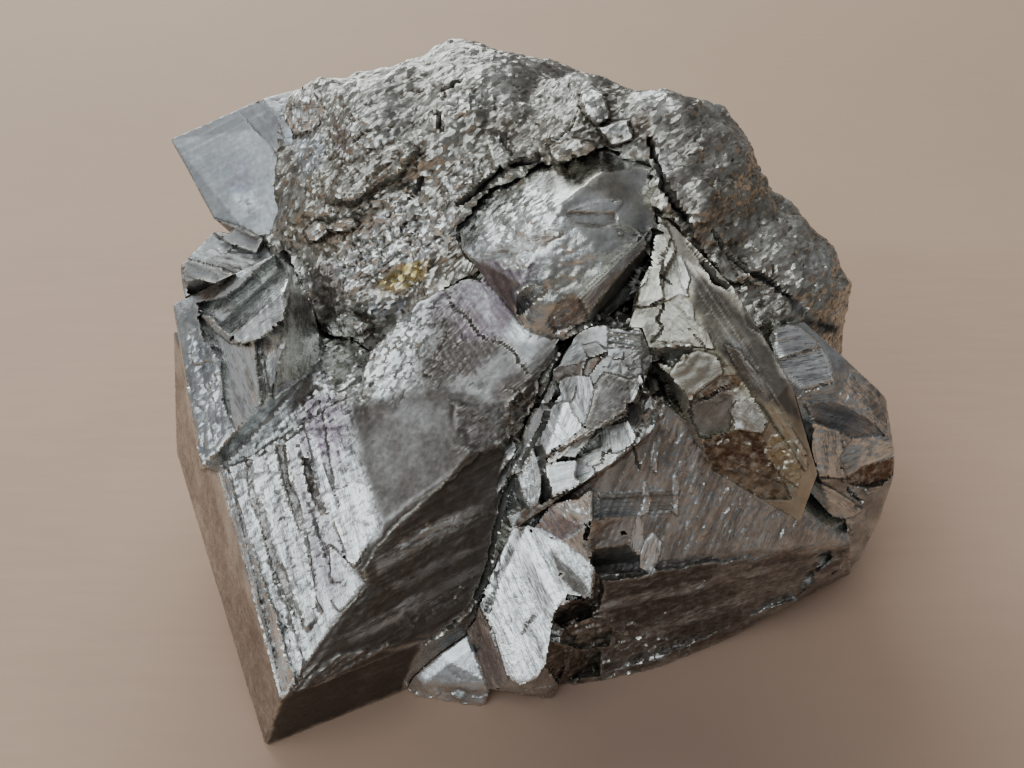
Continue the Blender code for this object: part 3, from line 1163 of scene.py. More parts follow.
def sparkle_effect() -> Tree:
    """Builds the small crystal faces that glint: each long grain leans its own way.

    Returns:
        The effect.
    """
    graph, given, result = new_effect(
        "sparkle",
        {"Place": VECTOR, "Grains per mm": FLOAT, "Lean": FLOAT, "Amount": FLOAT},
        {"Normal": VECTOR},
    )
    place = given.outputs["Place"]
    along = graph.add("ShaderNodeVectorMath", {0: place, 1: GRAIN_RUN}, operation="DOT_PRODUCT")
    squeeze = graph.math("MULTIPLY", along.outputs["Value"], -GRAIN_SQUEEZE)
    place = graph.vector("ADD", place, graph.vector("SCALE", GRAIN_RUN, squeeze))
    place = graph.vector("SCALE", place, graph.math("MULTIPLY", given.outputs["Grains per mm"], 1.0 / MM))
    cells = graph.add("ShaderNodeTexVoronoi", {"Vector": place, "Scale": 1.0})
    lean = graph.vector("SUBTRACT", cells.outputs["Color"], (0.5, 0.5, 0.5))
    reach = graph.math("MULTIPLY", given.outputs["Lean"], given.outputs["Amount"])
    normal = graph.add("ShaderNodeNewGeometry").outputs["Normal"]
    leant = graph.vector("ADD", normal, graph.vector("SCALE", lean, reach))
    graph.feed(result.inputs["Normal"], graph.vector("NORMALIZE", leant))
    return graph.tree


def tarnish_effect() -> Tree:
    """Builds the stains of old pyrite: purple, blue, rust and yellow, broken up by fine noise. The rust
    channel also carries painted shade on faces that turn from the lights, in grooves and under steps.

    Returns:
        The effect.
    """
    graph, given, result = new_effect(
        "tarnish",
        {"Colour": COLOUR, "Stain": COLOUR, "Yellow": FLOAT, "Place": VECTOR},
        {"Colour": COLOUR},
    )
    parts = graph.add("ShaderNodeSeparateColor", {0: given.outputs["Stain"]})
    colour = given.outputs["Colour"]
    masks = (*parts.outputs[:3], given.outputs["Yellow"])
    for number, (mask, tint) in enumerate(zip(masks, STAIN_COLOURS.values())):
        shifted = graph.vector("ADD", given.outputs["Place"], (STAIN_SHIFT_M * number, 0.0, 0.0))
        cloud = graph.noise(shifted, STAIN_CLOUD)
        broken = graph.math("MULTIPLY", mask, graph.remap(cloud, 0.34, 0.56, 0.25, 1.0))
        colour = graph.mix(broken, colour, tint)
    graph.feed(result.inputs["Colour"], colour)
    return graph.tree


def surface_marks_effect() -> Tree:
    """Builds the surface marks: lighter edges, darker and browner hollows, the matte coat with its painted
    shade, the pale painted highlight and the painted shade in cracks.

    Returns:
        The effect.
    """
    graph, given, result = new_effect(
        "surface_marks",
        {
            "Colour": COLOUR, "Roughness": FLOAT, "Edges and hollows": COLOUR, "Skin": COLOUR, "Streak": FLOAT,
            "Place": VECTOR, "Edge brightness": FLOAT, "Hollow darkening": FLOAT,
        },
        {"Colour": COLOUR, "Roughness": FLOAT, "Metallic": FLOAT},
    )
    edges_and_hollows = graph.add("ShaderNodeSeparateColor", {0: given.outputs["Edges and hollows"]})
    skin = graph.add("ShaderNodeSeparateColor", {0: given.outputs["Skin"]})
    dark, matte_and_shade = skin.outputs[1], skin.outputs[2]
    # Pale painted highlight on faces that catch the lights, streaked along the growth lines.
    streaked = graph.remap(given.outputs["Streak"], -0.7, 0.15, 0.15, 1.0)
    pale = graph.math("MULTIPLY", skin.outputs[0], streaked)
    cloud = graph.noise(given.outputs["Place"], HOLLOW_CLOUD)
    # Lighter on sharp edges; darker and browner in hollows.
    edge = graph.math("MULTIPLY", edges_and_hollows.outputs[0], given.outputs["Edge brightness"])
    hollow_dark = graph.math("MULTIPLY", edges_and_hollows.outputs[1], given.outputs["Hollow darkening"])
    hollow_dark = graph.math("MULTIPLY", hollow_dark, graph.remap(cloud, 0.3, 0.6, 0.4, 1.2))
    # Matte coat, with painted shade where it darkens faces that turn from the lights.
    covered = graph.math("MULTIPLY", matte_and_shade, MATTE_AND_SHADE_COVER)
    colour = graph.mix(covered, given.outputs["Colour"], MATTE_AND_SHADE_COLOUR)
    colour = graph.mix(pale, colour, PALE_AND_HIGHLIGHT_COLOUR)
    colour = graph.mix(edge, colour, EDGE_PALE_COLOUR)
    colour = graph.mix(hollow_dark, colour, HOLLOW_DARK_COLOUR)
    # Painted shade in cracks, cavities and turned-away faces.
    colour = graph.mix(dark, colour, CRACK_SHADE_COLOUR)
    graph.feed(result.inputs["Colour"], colour)
    rough = given.outputs["Roughness"]
    rougher = ((matte_and_shade, MATTE_ROUGHER), (hollow_dark, HOLLOW_ROUGHER), (dark, CRACK_ROUGHER), (edge, -EDGE_SMOOTHER))
    for place, more in rougher:
        rough = graph.math("ADD", rough, graph.math("MULTIPLY", place, more))
    graph.feed(result.inputs["Roughness"], graph.remap(rough, GLOSSIEST, 1.0, GLOSSIEST, 1.0))
    dull = graph.math("MAXIMUM", graph.math("MULTIPLY", hollow_dark, HOLLOW_DULLER), dark)
    graph.feed(result.inputs["Metallic"], graph.remap(dull, 0.0, 1.0, 1.0, DULLEST_METAL))
    return graph.tree


@dataclass(frozen=True)
class Effects:
    """The shared effects, each built once."""

    lines: Tree
    sparkle: Tree
    tarnish: Tree
    surface_marks: Tree

    @staticmethod
    def build() -> "Effects":
        """Builds every shared effect."""
        return Effects(growth_line_effect(), sparkle_effect(), tarnish_effect(), surface_marks_effect())


@dataclass(frozen=True)
class PyriteFinish:
    """One pyrite finish: its two metal colours, gloss, grain, growth lines, lighter edges and darker
    hollows.
    """

    name: str
    light: Colour = (0.65, 0.67, 0.655)
    deep: Colour = (0.285, 0.29, 0.285)
    roughness: float = 0.26
    uneven: float = 0.12
    grains_per_mm: float = 1.8
    lean: float = 0.6
    lines_per_mm: float = 2.2
    line_bump: float = 0.06
    streak: float = 0.75
    pitting: float = 0.05
    edge: float = 0.55
    hollow_darkening: float = 0.45

    def build(self, effects: Effects) -> bpy.types.Material:
        """Makes the finish.

        Args:
            effects: the shared effects.

        Returns:
            The finish as a material.
        """
        material = bpy.data.materials.new(self.name)
        material.use_nodes = True
        material.node_tree.nodes.clear()
        graph = Graph(material.node_tree)
        place = graph.add("ShaderNodeTexCoord").outputs["Object"]
        tint, skin, edges_and_hollows = (graph.attribute(name) for name in ("tint", "skin", "surface_marks"))
        run = graph.attribute("lines").outputs["Vector"]
        lines = graph.group(effects.lines, {"Lines": run, "Per mm": self.lines_per_mm})
        sparkle = graph.group(effects.sparkle, {
            "Place": place, "Grains per mm": self.grains_per_mm,
            "Lean": self.lean, "Amount": skin.outputs["Alpha"],
        })
        cloud = graph.remap(graph.noise(place, TONE_CLOUD), 0.35, 0.65)
        streak = graph.math("MULTIPLY", lines.outputs["Streak"], self.streak)
        colour = graph.mix(graph.math("ADD", cloud, streak), self.deep, self.light)
        colour = graph.group(effects.tarnish, {
            "Colour": colour, "Stain": tint.outputs["Color"],
            "Yellow": tint.outputs["Alpha"], "Place": place,
        }).outputs["Colour"]
        fine = graph.noise(place, GLOSS_CLOUD)
        rough = graph.remap(fine, 0.3, 0.7, self.roughness - self.uneven, self.roughness + self.uneven)
        surface_marks = graph.group(effects.surface_marks, {
            "Colour": colour, "Roughness": rough, "Edges and hollows": edges_and_hollows.outputs["Color"],
            "Skin": skin.outputs["Color"], "Streak": lines.outputs["Streak"], "Place": place,
            "Edge brightness": self.edge, "Hollow darkening": self.hollow_darkening,
        })
        height = graph.math("MULTIPLY", lines.outputs["Height"], self.line_bump)
        height = graph.math("ADD", height, graph.math("MULTIPLY", fine, self.pitting))
        bump = graph.add("ShaderNodeBump", {
            "Height": height, "Normal": sparkle.outputs["Normal"], "Distance": MM, "Strength": 1.0,
        })
        shader = graph.add("ShaderNodeBsdfPrincipled", {
            "Base Color": surface_marks.outputs["Colour"], "Roughness": surface_marks.outputs["Roughness"],
            "Metallic": surface_marks.outputs["Metallic"], "Normal": bump.outputs["Normal"],
        })
        graph.add("ShaderNodeOutputMaterial", {"Surface": shader.outputs[0]})
        return material


# ---------------------------------------------------------------- the specimen's pieces


WAVE_MM = 0.05
WAVE_WIDTH_MM = 5.0
FAINT_GRAIN = 0.08


@dataclass
class Piece:
    """One crystal or lump: a skin over its solid, its marks, and its finish.

    The marks are worked in this order: facets, growth lines, chips, cracks and washes.
    """

    node: str
    slot: str
    finish: PyriteFinish
    voxel_mm: float = 0.6
    splits: int = 1
    facets: tuple[Facet, ...] = ()
    lines: tuple[Lines, ...] = ()
    chips: tuple[Chips, ...] = ()
    cracks: tuple[Crack, ...] = ()
    washes: tuple[Wash, ...] = ()
    leans_on: tuple[str, ...] = ()
    relaxing: int = 0

    def build(self, effects: Effects) -> bpy.types.Object:
        """Grows the skin, works it and dresses it.

        Args:
            effects: the shared effects, for the finish.

        Returns:
            The finished piece.
        """
        voxel = self.voxel_mm * 1.0
        skin = Skin(self.node, voxel, self.splits)
        if self.relaxing:
            skin.relax(self.relaxing)
        if self.leans_on:
            skin.lean_on(self.leans_on)
        self.ground(skin)
        skin.follow(facet.outline for facet in self.facets if not facet.soft)
        for facet in self.facets:
            skin.cut_facet(facet)
        skin.measure()
        self.texture(skin)
        for lines in self.lines:
            skin.rule_lines(lines)
        for chips in self.chips:
            skin.chip(chips)
        for crack in (*CRACKS, *self.cracks):
            skin.open_crack(crack)
        for wash in self.washes:
            skin.wash(wash)
        skin.shift()
        self.trim(skin)
        piece = skin.write(f"{self.node}_skin")
        piece.data.materials.clear()
        piece.data.materials.append(self.finish.build(effects))
        LOG.info("%s: %d faces", piece.name, len(piece.data.polygons))
        return piece

    def ground(self, skin: Skin) -> None:
        """Shapes the skin before any facet is cut: a crystal needs nothing here."""

    def texture(self, skin: Skin) -> None:
        """Gives the whole skin its ground: faint waves and a little grain."""
        skin.height += WAVE_MM * smooth_noise(skin.rest, WAVE_WIDTH_MM, 3, 3)
        skin.add_mask(GRAIN, np.full(len(skin.rest), FAINT_GRAIN))

    def trim(self, skin: Skin) -> None:
        """Keeps the underside flat: nothing stands below the table."""
        skin.points[:, 2] = np.maximum(skin.points[:, 2], 0.0)


# Open cracks cross from one crystal to the next, so every skin takes them.
CRACKS = (
    Crack((455, 206, 480, 189, 500, 172, 512, 164, 530, 161, 545, 152, 549, 140), 7.0, 2.0),
    Crack((512, 164, 508, 150, 501, 138), 3.0, 1.0),
    Crack((549, 140, 562, 135, 572, 124, 580, 112), 3.0, 0.8),
    Crack((648, 138, 652, 152, 660, 172, 670, 192, 680, 215, 690, 240, 705, 262, 715, 280, 728, 288,
        742, 285), 8.0, 2.6),
    Crack((712, 232, 728, 253, 740, 265, 758, 275, 775, 285, 790, 298), 5.0, 1.4),
    Crack((656, 222, 649, 240, 646, 262, 639, 285, 628, 306, 610, 318, 592, 323, 578, 328, 570, 336,
        562, 348, 556, 360, 547, 369, 541, 380, 541, 398, 546, 407), 5.6, 1.8),
    Crack((557, 382, 556, 395, 553, 403, 547, 409, 545, 420, 540, 433, 532, 447, 523, 461, 513, 479,
        505, 495, 501, 510, 497, 530, 490, 563, 478, 598, 455, 625, 425, 645), 5.6, 1.8),
    Crack((628, 306, 645, 308, 663, 301), 2.6, 0.8),
    Crack((664, 302, 658, 318, 662, 328, 652, 342, 650, 360), 2.2, 0.7),
    Crack((445, 293, 455, 306, 468, 322, 480, 335, 498, 344, 512, 349, 520, 366, 530, 374), 1.5, 0.4),
    Crack((436, 110, 440, 125, 444, 134), 4.0, 1.0),
    Crack((420, 178, 417, 190, 408, 200), 4.0, 0.9),
    Crack((440, 92, 455, 82, 462, 80), 4.0, 1.0),
    Crack((352, 142, 362, 133, 368, 128), 3.0, 0.8),
)


# ---------------------------------------------------------------- the large cube corner

DOME = (
    462, 212, 495, 182, 540, 165, 600, 160, 648, 172, 652, 215, 640, 245, 610, 272, 565, 303, 530, 320,
    545, 260, 520, 250,
)
FLAT = (350, 405, 400, 392, 505, 400, 505, 446, 478, 451, 440, 482, 382, 524, 364, 470)
FRONT = (
    283, 698, 332, 622, 366, 583, 354, 568, 382, 526, 440, 482, 478, 451, 505, 446, 498, 532, 490, 572,
    470, 620, 430, 641, 413, 642, 332, 662,
)
LEDGE = (498, 262, 515, 256, 530, 260, 527, 271, 503, 269)
CRACK_CORNER = (505, 385, 541, 378, 546, 420, 525, 445, 500, 440)
SMOOTH_AREA = (425, 345, 500, 340, 565, 340, 545, 395, 440, 404, 410, 385)
FOOT_FACE = (282, 700, 265, 745, 400, 690, 421, 645, 332, 662)

# Facet masks paint tone: pale paints highlight where a face catches the lights; rust, matte and dark paint
# shade on the undercut front face, in grooves, under steps and in the cavity; purple and yellow are stains.
CORNER_FACETS = (
    # The undercut front face.
    Facet((292, 694, 336, 628, 371, 588, 361, 569, 387, 531, 442, 487, 480, 456, 501, 451, 494, 530,
        486, 568, 466, 615, 428, 636, 410, 638, 332, 657), 0.0, (0, 0), MATTE_AND_SHADE, 0.6, 4.0),
    # Rails and grooves of the striated upper face, from left to right.
    Facet((218, 472, 229, 468, 250, 530, 275, 610, 297, 682, 283, 698), 0.1, (-2, 0), PALE_AND_HIGHLIGHT, 0.45),
    Facet((229, 468, 246, 461, 252, 500, 262, 525, 270, 555, 284, 590, 303, 660, 297, 682, 275, 610,
        250, 530), 0.0, (2, 0), PALE_AND_HIGHLIGHT, 0.15),
    Facet((246, 461, 252, 461, 256, 490, 266, 508, 275, 548, 286, 570, 299, 610, 296, 618, 284, 590,
        270, 555, 262, 525, 252, 500), -0.5, (0, 0), RUST_AND_SHADE, 0.55),
    Facet((252, 461, 277, 447, 284, 480, 296, 510, 305, 545, 318, 600, 303, 622, 299, 610, 286, 570,
        275, 548, 266, 508, 256, 490), 0.15, (0, 0), PALE_AND_HIGHLIGHT, 0.40),
    Facet((277, 447, 284, 443, 290, 478, 300, 500, 308, 530, 301, 532, 293, 508, 284, 480), -0.3, (0, 0),
        RUST_AND_SHADE, 0.45),
    Facet((284, 443, 304, 430, 309, 450, 318, 490, 345, 560, 352, 592, 332, 622, 318, 600, 308, 530,
        300, 500, 290, 478), 0.0, (2, -2), PURPLE, 0.3),
    Facet((308, 438, 316, 438, 328, 480, 340, 512, 356, 560, 350, 563, 335, 520, 322, 490), 0.2, (-2, 0),
        PALE_AND_HIGHLIGHT, 0.65),
    Facet((303, 458, 308, 460, 318, 490, 327, 512, 322, 515, 311, 492), -0.35, (0, 0), RUST_AND_SHADE, 0.8),
    Facet((338, 490, 366, 478, 380, 524, 354, 566, 346, 540), 0.1, (-2, 2), PALE_AND_HIGHLIGHT, 0.75),
    Facet((330, 545, 352, 568, 366, 584, 340, 612, 332, 600), -0.3, (4, -6), PURPLE, 0.2),
    # The stepped block: raised upper step, its bright chip, groove, bevels.
    Facet((200, 312, 222, 330, 240, 345, 258, 342, 258, 360, 262, 400, 236, 430, 224, 400, 222, 360,
        205, 335), 0.0, (0, 0), PALE_AND_HIGHLIGHT, 0.9),
    Facet((199, 304, 225, 299, 240, 288, 258, 270, 276, 256, 287, 270, 291, 292, 286, 316, 264, 337,
        240, 344, 222, 330, 208, 316), 0.4, (0, 1), PALE_AND_HIGHLIGHT, 0.9),
    Facet((264, 338, 287, 319, 286, 342, 276, 372, 270, 394, 264, 366), 0.25, (-3, 2), PALE_AND_HIGHLIGHT, 0.55),
    Facet((257, 341, 264, 338, 264, 366, 270, 394, 263, 404, 258, 370), -0.3, (0, 0), RUST_AND_SHADE, 0.5),
    Facet((204, 316, 211, 316, 222, 328, 240, 342, 232, 343, 216, 330), -0.4, (0, 0), RUST_AND_SHADE, 0.6),
    Facet((276, 256, 293, 262, 300, 275, 318, 330, 322, 352, 308, 372, 275, 397, 286, 342, 286, 316,
        291, 292, 287, 270), 0.0, (-4, 5), PALE_AND_HIGHLIGHT, 0.5),
    # The cavity beside it.
    Facet((275, 250, 293, 244, 300, 262, 303, 271, 290, 264, 282, 258), -1.6, (0, 0), DARK_SHADE, 0.7),
    # Ledges left of the dome, and its bright sliver.
    Facet((500, 245, 545, 232, 562, 233, 541, 244, 505, 249), 0.3, (0, -12), MATTE_AND_SHADE, 0.6),
    Facet((470, 257, 500, 250, 532, 249, 502, 258, 478, 262), 0.25, (0, -12), MATTE_AND_SHADE, 0.6),
    Facet((484, 199, 491, 190, 503, 180, 501, 187, 493, 197), 0.5, (-4, 4), PALE_AND_HIGHLIGHT, 0.9),
    # The dome's step: a pale upper face and the brown shadow under it.
    Facet((565, 212, 585, 205, 602, 201, 620, 202, 614, 212, 590, 213), 0.25, (0, 3), PALE_AND_HIGHLIGHT, 0.8),
    Facet((565, 213, 590, 213, 614, 212, 616, 222, 600, 226, 572, 222), -0.5, (0, -12), RUST_AND_SHADE, 0.6),
    Facet((616, 228, 626, 226, 638, 234, 630, 240, 620, 236), -0.5, (0, -8), RUST_AND_SHADE, 0.5),
    # Its dark flank beside the crack.
    Facet((655, 224, 648, 245, 646, 265, 636, 290, 625, 306, 600, 318, 585, 320, 575, 305, 590, 288,
        612, 268, 630, 250, 642, 238), 0.0, (4, -8), MATTE_AND_SHADE, 0.7),
    Facet((560, 300, 580, 300, 588, 318, 575, 325, 556, 332, 548, 322), -0.5, (2, -4), RUST_AND_SHADE, 0.6, 0.0, 0.8),
    # The white smear and the bright ledge in the purple patch.
    Facet((514, 292, 530, 284, 545, 288, 536, 300, 518, 314), 0.2, (0, 4), PALE_AND_HIGHLIGHT, 0.7, 5.0),
    Facet(LEDGE, 0.4, (0, 2), PALE_AND_HIGHLIGHT, 1.0, 3.0, 0.9),
    # Flat spots along the foot of the flat.
    Facet((452, 404, 505, 404, 505, 446, 478, 450, 455, 440), 0.2, (2, 2), MATTE_AND_SHADE, 0.5, 8.0),
)

CORNER_LINES = (
    Lines((218, 472, 275, 415, 318, 388, 350, 405, 365, 470, 380, 526, 354, 568, 366, 584, 332, 622,
        282, 698), (60, 225), 1.0, 0.06, 1.0),
    Lines(FRONT, (100, -52), 1.1, 0.06, 1.0),
    Lines((450, 262, 540, 262, 530, 330, 500, 345, 470, 380, 430, 360), (38, 62), 1.0, 0.10, 0.9),
    Lines((200, 312, 250, 291, 275, 255, 288, 306, 286, 342, 236, 430, 203, 466, 186, 400), (10, 60), 1.3,
        0.06, 0.4),
    Lines((284, 262, 300, 275, 322, 352, 290, 390, 275, 397, 286, 342), (20, 60), 0.6, 0.05, 0.6),
    Lines((655, 224, 636, 290, 600, 318, 575, 305, 612, 268), (70, -62), 0.6, 0.06, 0.6),
    Lines((282, 700, 268, 742, 400, 690, 421, 646), (100, -40), 1.4, 0.03, 0.2),
)

CORNER_CHIPS = (
    # Long specks that cross the striated face.
    Chips((218, 472, 300, 400, 350, 405, 380, 526, 332, 622, 282, 698), 0.75, 0.08, 87, 6.0, 0.3,
        (1.0, -0.8), 2.2),
    Chips((246, 461, 300, 440, 330, 520, 318, 600, 290, 600), 1.2, 0.11, 88, 8.0, 0.4, (1.0, -0.8), 1.8),
    Chips((318, 350, 345, 312, 400, 300, 440, 296, 452, 330, 430, 385, 400, 402, 352, 408, 322, 392), 1.1,
        0.23, 81, 10.0, 0.3, (1.0, -1.1), 2.0),
    Chips((184, 325, 205, 330, 222, 360, 226, 400, 222, 440, 200, 462, 188, 400), 1, 0.21, 83, 5.0, 0.3,
        (0.15, 1.0), 3.0),
    Chips(CRACK_CORNER, 1.3, 0.32, 84, 8.0, 0.3, (1.0, -0.8), 1.6),
    Chips((440, 270, 470, 300, 470, 380, 420, 390, 400, 350), 1, 0.18, 85, 12.0, 0.3, (1.0, -1.1), 2.2),
    Chips((460, 400, 505, 400, 505, 450, 450, 452), 0.9, 0.1, 86, 10.0),
    Chips((462, 212, 520, 180, 560, 200, 560, 240, 480, 245), 1, 0.13, 89, 12.0, 0.3, (1.0, -1.0), 2.2),
    Chips((560, 240, 640, 235, 610, 270, 560, 300, 540, 290), 1, 0.13, 90, 8.0, 0.3, (1.0, -0.8), 2.6),
    Chips(LEDGE, 0.8, 0.21, 80, 4.0),
    Chips((370, 560, 430, 520, 490, 505, 480, 520, 400, 560), 0.9, 0.17, 79, 8.0, 0.3, (1.0, -0.55), 1.6),
    Chips((390, 622, 450, 590, 480, 570, 470, 590, 410, 630), 0.9, 0.15, 78, 8.0, 0.3, (1.0, -0.55), 1.6),
)

CORNER_CRACKS = (
    Crack((268, 560, 278, 588, 290, 620, 300, 650), 2.4, 0.3),
    Crack((308, 500, 316, 530, 326, 560), 2.6, 0.3),
    Crack((296, 444, 306, 470, 312, 492), 2.4, 0.3),
)

# Washes paint tone too: pale paints highlight on the striated face, the dome and bands of the front face;
# matte and rust paint shade on the front face, the foot and the flat, with some brown stain; purple, blue
# and yellow are stains.
CORNER_WASHES = (
    Wash(PURPLE, (300, 398, 345, 396, 352, 450, 334, 470, 306, 440), 0.9, 18.0, 0.3),
    Wash(PURPLE, (226, 480, 238, 478, 262, 560, 250, 575), 0.5, 10.0, 0.5),
    Wash(PURPLE, (440, 262, 540, 262, 522, 300, 500, 345, 470, 380, 420, 370), 1.0, 12.0, 0.15),
    Wash(MATTE_AND_SHADE, (440, 262, 535, 266, 520, 320, 495, 345, 465, 375, 425, 360), 0.65, 12.0, 0.6),
    Wash(MATTE_AND_SHADE, SMOOTH_AREA, 0.9, 14.0, 0.45),
    Wash(RUST_AND_SHADE, SMOOTH_AREA, 0.3, 14.0, 0.7),
    Wash(GRAIN, (425, 335, 500, 330, 565, 340, 545, 395, 440, 404, 410, 385), 0.7, 14.0, 0.2),
    Wash(PURPLE, (285, 445, 330, 430, 345, 520, 340, 580, 318, 590, 300, 500), 0.4, 18.0, 0.6),
    Wash(MATTE_AND_SHADE, (420, 330, 445, 320, 470, 360, 440, 400, 400, 395), 0.5, 10.0, 0.6),
    Wash(PALE_AND_HIGHLIGHT, (262, 560, 300, 680, 284, 697), 0.5, 10.0, 0.8),
    Wash(MATTE_AND_SHADE, FLAT, 1.0, 14.0, 0.2),
    Wash(RUST_AND_SHADE, (350, 405, 400, 402, 420, 470, 382, 524, 364, 470), 0.3, 14.0, 0.4),
    Wash(MATTE_AND_SHADE, FRONT, 1.0, 4.0, 0.4),
    Wash(RUST_AND_SHADE, FRONT, 0.6, 4.0, 0.5),
    Wash(PALE_AND_HIGHLIGHT, (374, 562, 404, 540, 448, 516, 490, 500, 491, 512, 440, 536, 400, 560, 378, 576), 0.35, 5.0,
        0.9),
    Wash(PALE_AND_HIGHLIGHT, (345, 636, 396, 606, 440, 582, 484, 562, 480, 572, 440, 596, 398, 620, 350, 645), 0.3, 4.0,
        0.95),
    Wash(PALE_AND_HIGHLIGHT, (392, 586, 440, 560, 490, 540, 488, 546, 440, 568, 396, 594), 0.2, 3.0, 0.95),
    Wash(RUST_AND_SHADE, (380, 530, 440, 486, 478, 455, 500, 450, 470, 490, 400, 540), 0.7, 6.0, 0.3),
    Wash(RUST_AND_SHADE, (366, 590, 430, 556, 490, 530, 490, 545, 430, 575, 372, 610), 0.6, 8.0, 0.4),
    Wash(RUST_AND_SHADE, FOOT_FACE, 0.85, 4.0, 0.15),
    Wash(MATTE_AND_SHADE, FOOT_FACE, 1.0, 4.0, 0.2),
    Wash(RUST_AND_SHADE, (150, 290, 186, 400, 203, 466, 283, 700, 265, 750, 200, 640), 0.6, 4.0, 0.3),
    Wash(RUST_AND_SHADE, (306, 268, 350, 266, 345, 308, 322, 312), 0.9, 10.0, 0.4),
    Wash(RUST_AND_SHADE, CRACK_CORNER, 0.7, 10.0, 0.7),
    Wash(RUST_AND_SHADE, (450, 452, 478, 450, 505, 446, 505, 462, 470, 475, 440, 486), 0.6, 4.0, 0.3),
    Wash(PALE_AND_HIGHLIGHT, (470, 215, 530, 180, 600, 195, 625, 235, 600, 262, 550, 270, 500, 240), 0.6, 14.0, 0.7),
    Wash(YELLOW, DOME, 0.10, 14.0, 0.8),
    Wash(RUST_AND_SHADE, (590, 172, 650, 166, 655, 212, 640, 202, 600, 200, 582, 184), 0.35, 10.0, 0.5),
    Wash(PALE_AND_HIGHLIGHT, (325, 350, 350, 318, 440, 330, 420, 390, 350, 405), 0.45, 12.0, 0.9),
    Wash(YELLOW, (325, 350, 350, 318, 400, 330, 370, 405, 340, 405), 0.12, 12.0, 0.9),
    Wash(BLUE, (186, 335, 222, 345, 226, 400, 222, 440, 200, 462), 0.25, 8.0, 0.5),
    Wash(GRAIN, (320, 345, 350, 310, 440, 300, 450, 380, 420, 400, 300, 440), 0.9, 14.0, 0.3),
    Wash(GRAIN, (462, 212, 520, 180, 560, 200, 545, 250, 470, 262), 0.5, 10.0, 0.4),
    Wash(GRAIN, FRONT, 0.3, 6.0, 0.6),
    Wash(GRAIN, FLAT, 0.35, 10.0, 0.3),
    Wash(GRAIN, (219, 474, 300, 400, 345, 400, 380, 526, 282, 698), 0.4, 6.0, 0.4),
    Wash(GRAIN, (184, 325, 205, 330, 226, 400, 222, 440, 200, 462), 0.6, 6.0, 0.4),
)


@dataclass
class CornerCrystal(Piece):
    """The large cube corner at the front left, with the stepped block, the flat and the dome.

    The dome carries shell-like swells, with rings round a middle on the sheet, and shallow dents.
    """

    node: str = "left_crystal"
    slot: str = "bright_pyrite"
    finish: PyriteFinish = PyriteFinish("bright_striated_pyrite", lines_per_mm=2.4)
    voxel_mm: float = 0.67
    facets: tuple[Facet, ...] = CORNER_FACETS
    lines: tuple[Lines, ...] = CORNER_LINES
    chips: tuple[Chips, ...] = CORNER_CHIPS
    cracks: tuple[Crack, ...] = CORNER_CRACKS
    washes: tuple[Wash, ...] = CORNER_WASHES
    dome_soft: float = 14.0
    dome_stretch: Triple = (1.0, 0.45, 1.4)
    swell_width_mm: float = 7.0
    swell_mm: float = 0.25
    ring_middle: tuple[float, float] = (600.0, 170.0)
    ring_step: float = 7.0
    ring_sway: float = 1.5
    ring_mm: float = 0.09
    dent_width_mm: float = 3.4
    dent_mm: float = 0.2

    def texture(self, skin: Skin) -> None:
        """Adds the dome's swells, rings and dents to the faint waves.

        Args:
            skin: the crystal's skin.
        """
        super().texture(skin)
        dome = skin.sheet_weight(DOME, self.dome_soft)
        place = skin.rest * np.array(self.dome_stretch)
        swell = smooth_noise(place, self.swell_width_mm, 71, 2)
        away = np.hypot(*(skin.spots - np.array(self.ring_middle)).T)
        rings = away / self.ring_step + self.ring_sway * swell
        skin.height += dome * (self.swell_mm * swell + self.ring_mm * np.abs(np.sin(rings)))
        skin.height += self.dent_mm * dome * facet_noise(place, self.dent_width_mm, 75)


# ---------------------------------------------------------------- the broken crystal

STEP_WALL = (
    500, 536, 515, 525, 523, 510, 540, 503, 552, 497, 575, 487, 600, 470, 622, 456, 650, 436, 660, 424,
    664, 432, 650, 441, 625, 458, 607, 470, 600, 480, 590, 492, 577, 498, 556, 503, 545, 508, 533, 520,
    515, 528,
)
BLOCK_FACE = (
    497, 537, 513, 527, 522, 525, 535, 527, 549, 536, 558, 539, 573, 533, 590, 520, 582, 535, 588, 556,
    595, 572, 591, 598, 565, 600, 557, 613, 549, 645, 553, 655, 537, 679, 521, 685, 508, 678, 494, 630,
    487, 622, 476, 596, 484, 575, 491, 562,
)
LINED_SLOPE = (657, 400, 700, 440, 760, 500, 850, 540, 700, 556, 640, 572, 597, 570, 597, 545, 600, 482)
FOOT_BAND = (592, 572, 700, 556, 850, 543, 850, 577, 720, 642, 600, 684, 560, 690, 552, 620, 592, 600)
HEAD = (552, 380, 560, 340, 590, 322, 652, 318, 664, 380, 640, 440, 600, 452)
BLOCK_STRIP = (508, 534, 518, 530, 546, 590, 558, 612, 550, 624, 528, 582)
SMALL_BLOCK = (425, 642, 462, 630, 489, 688, 417, 682)
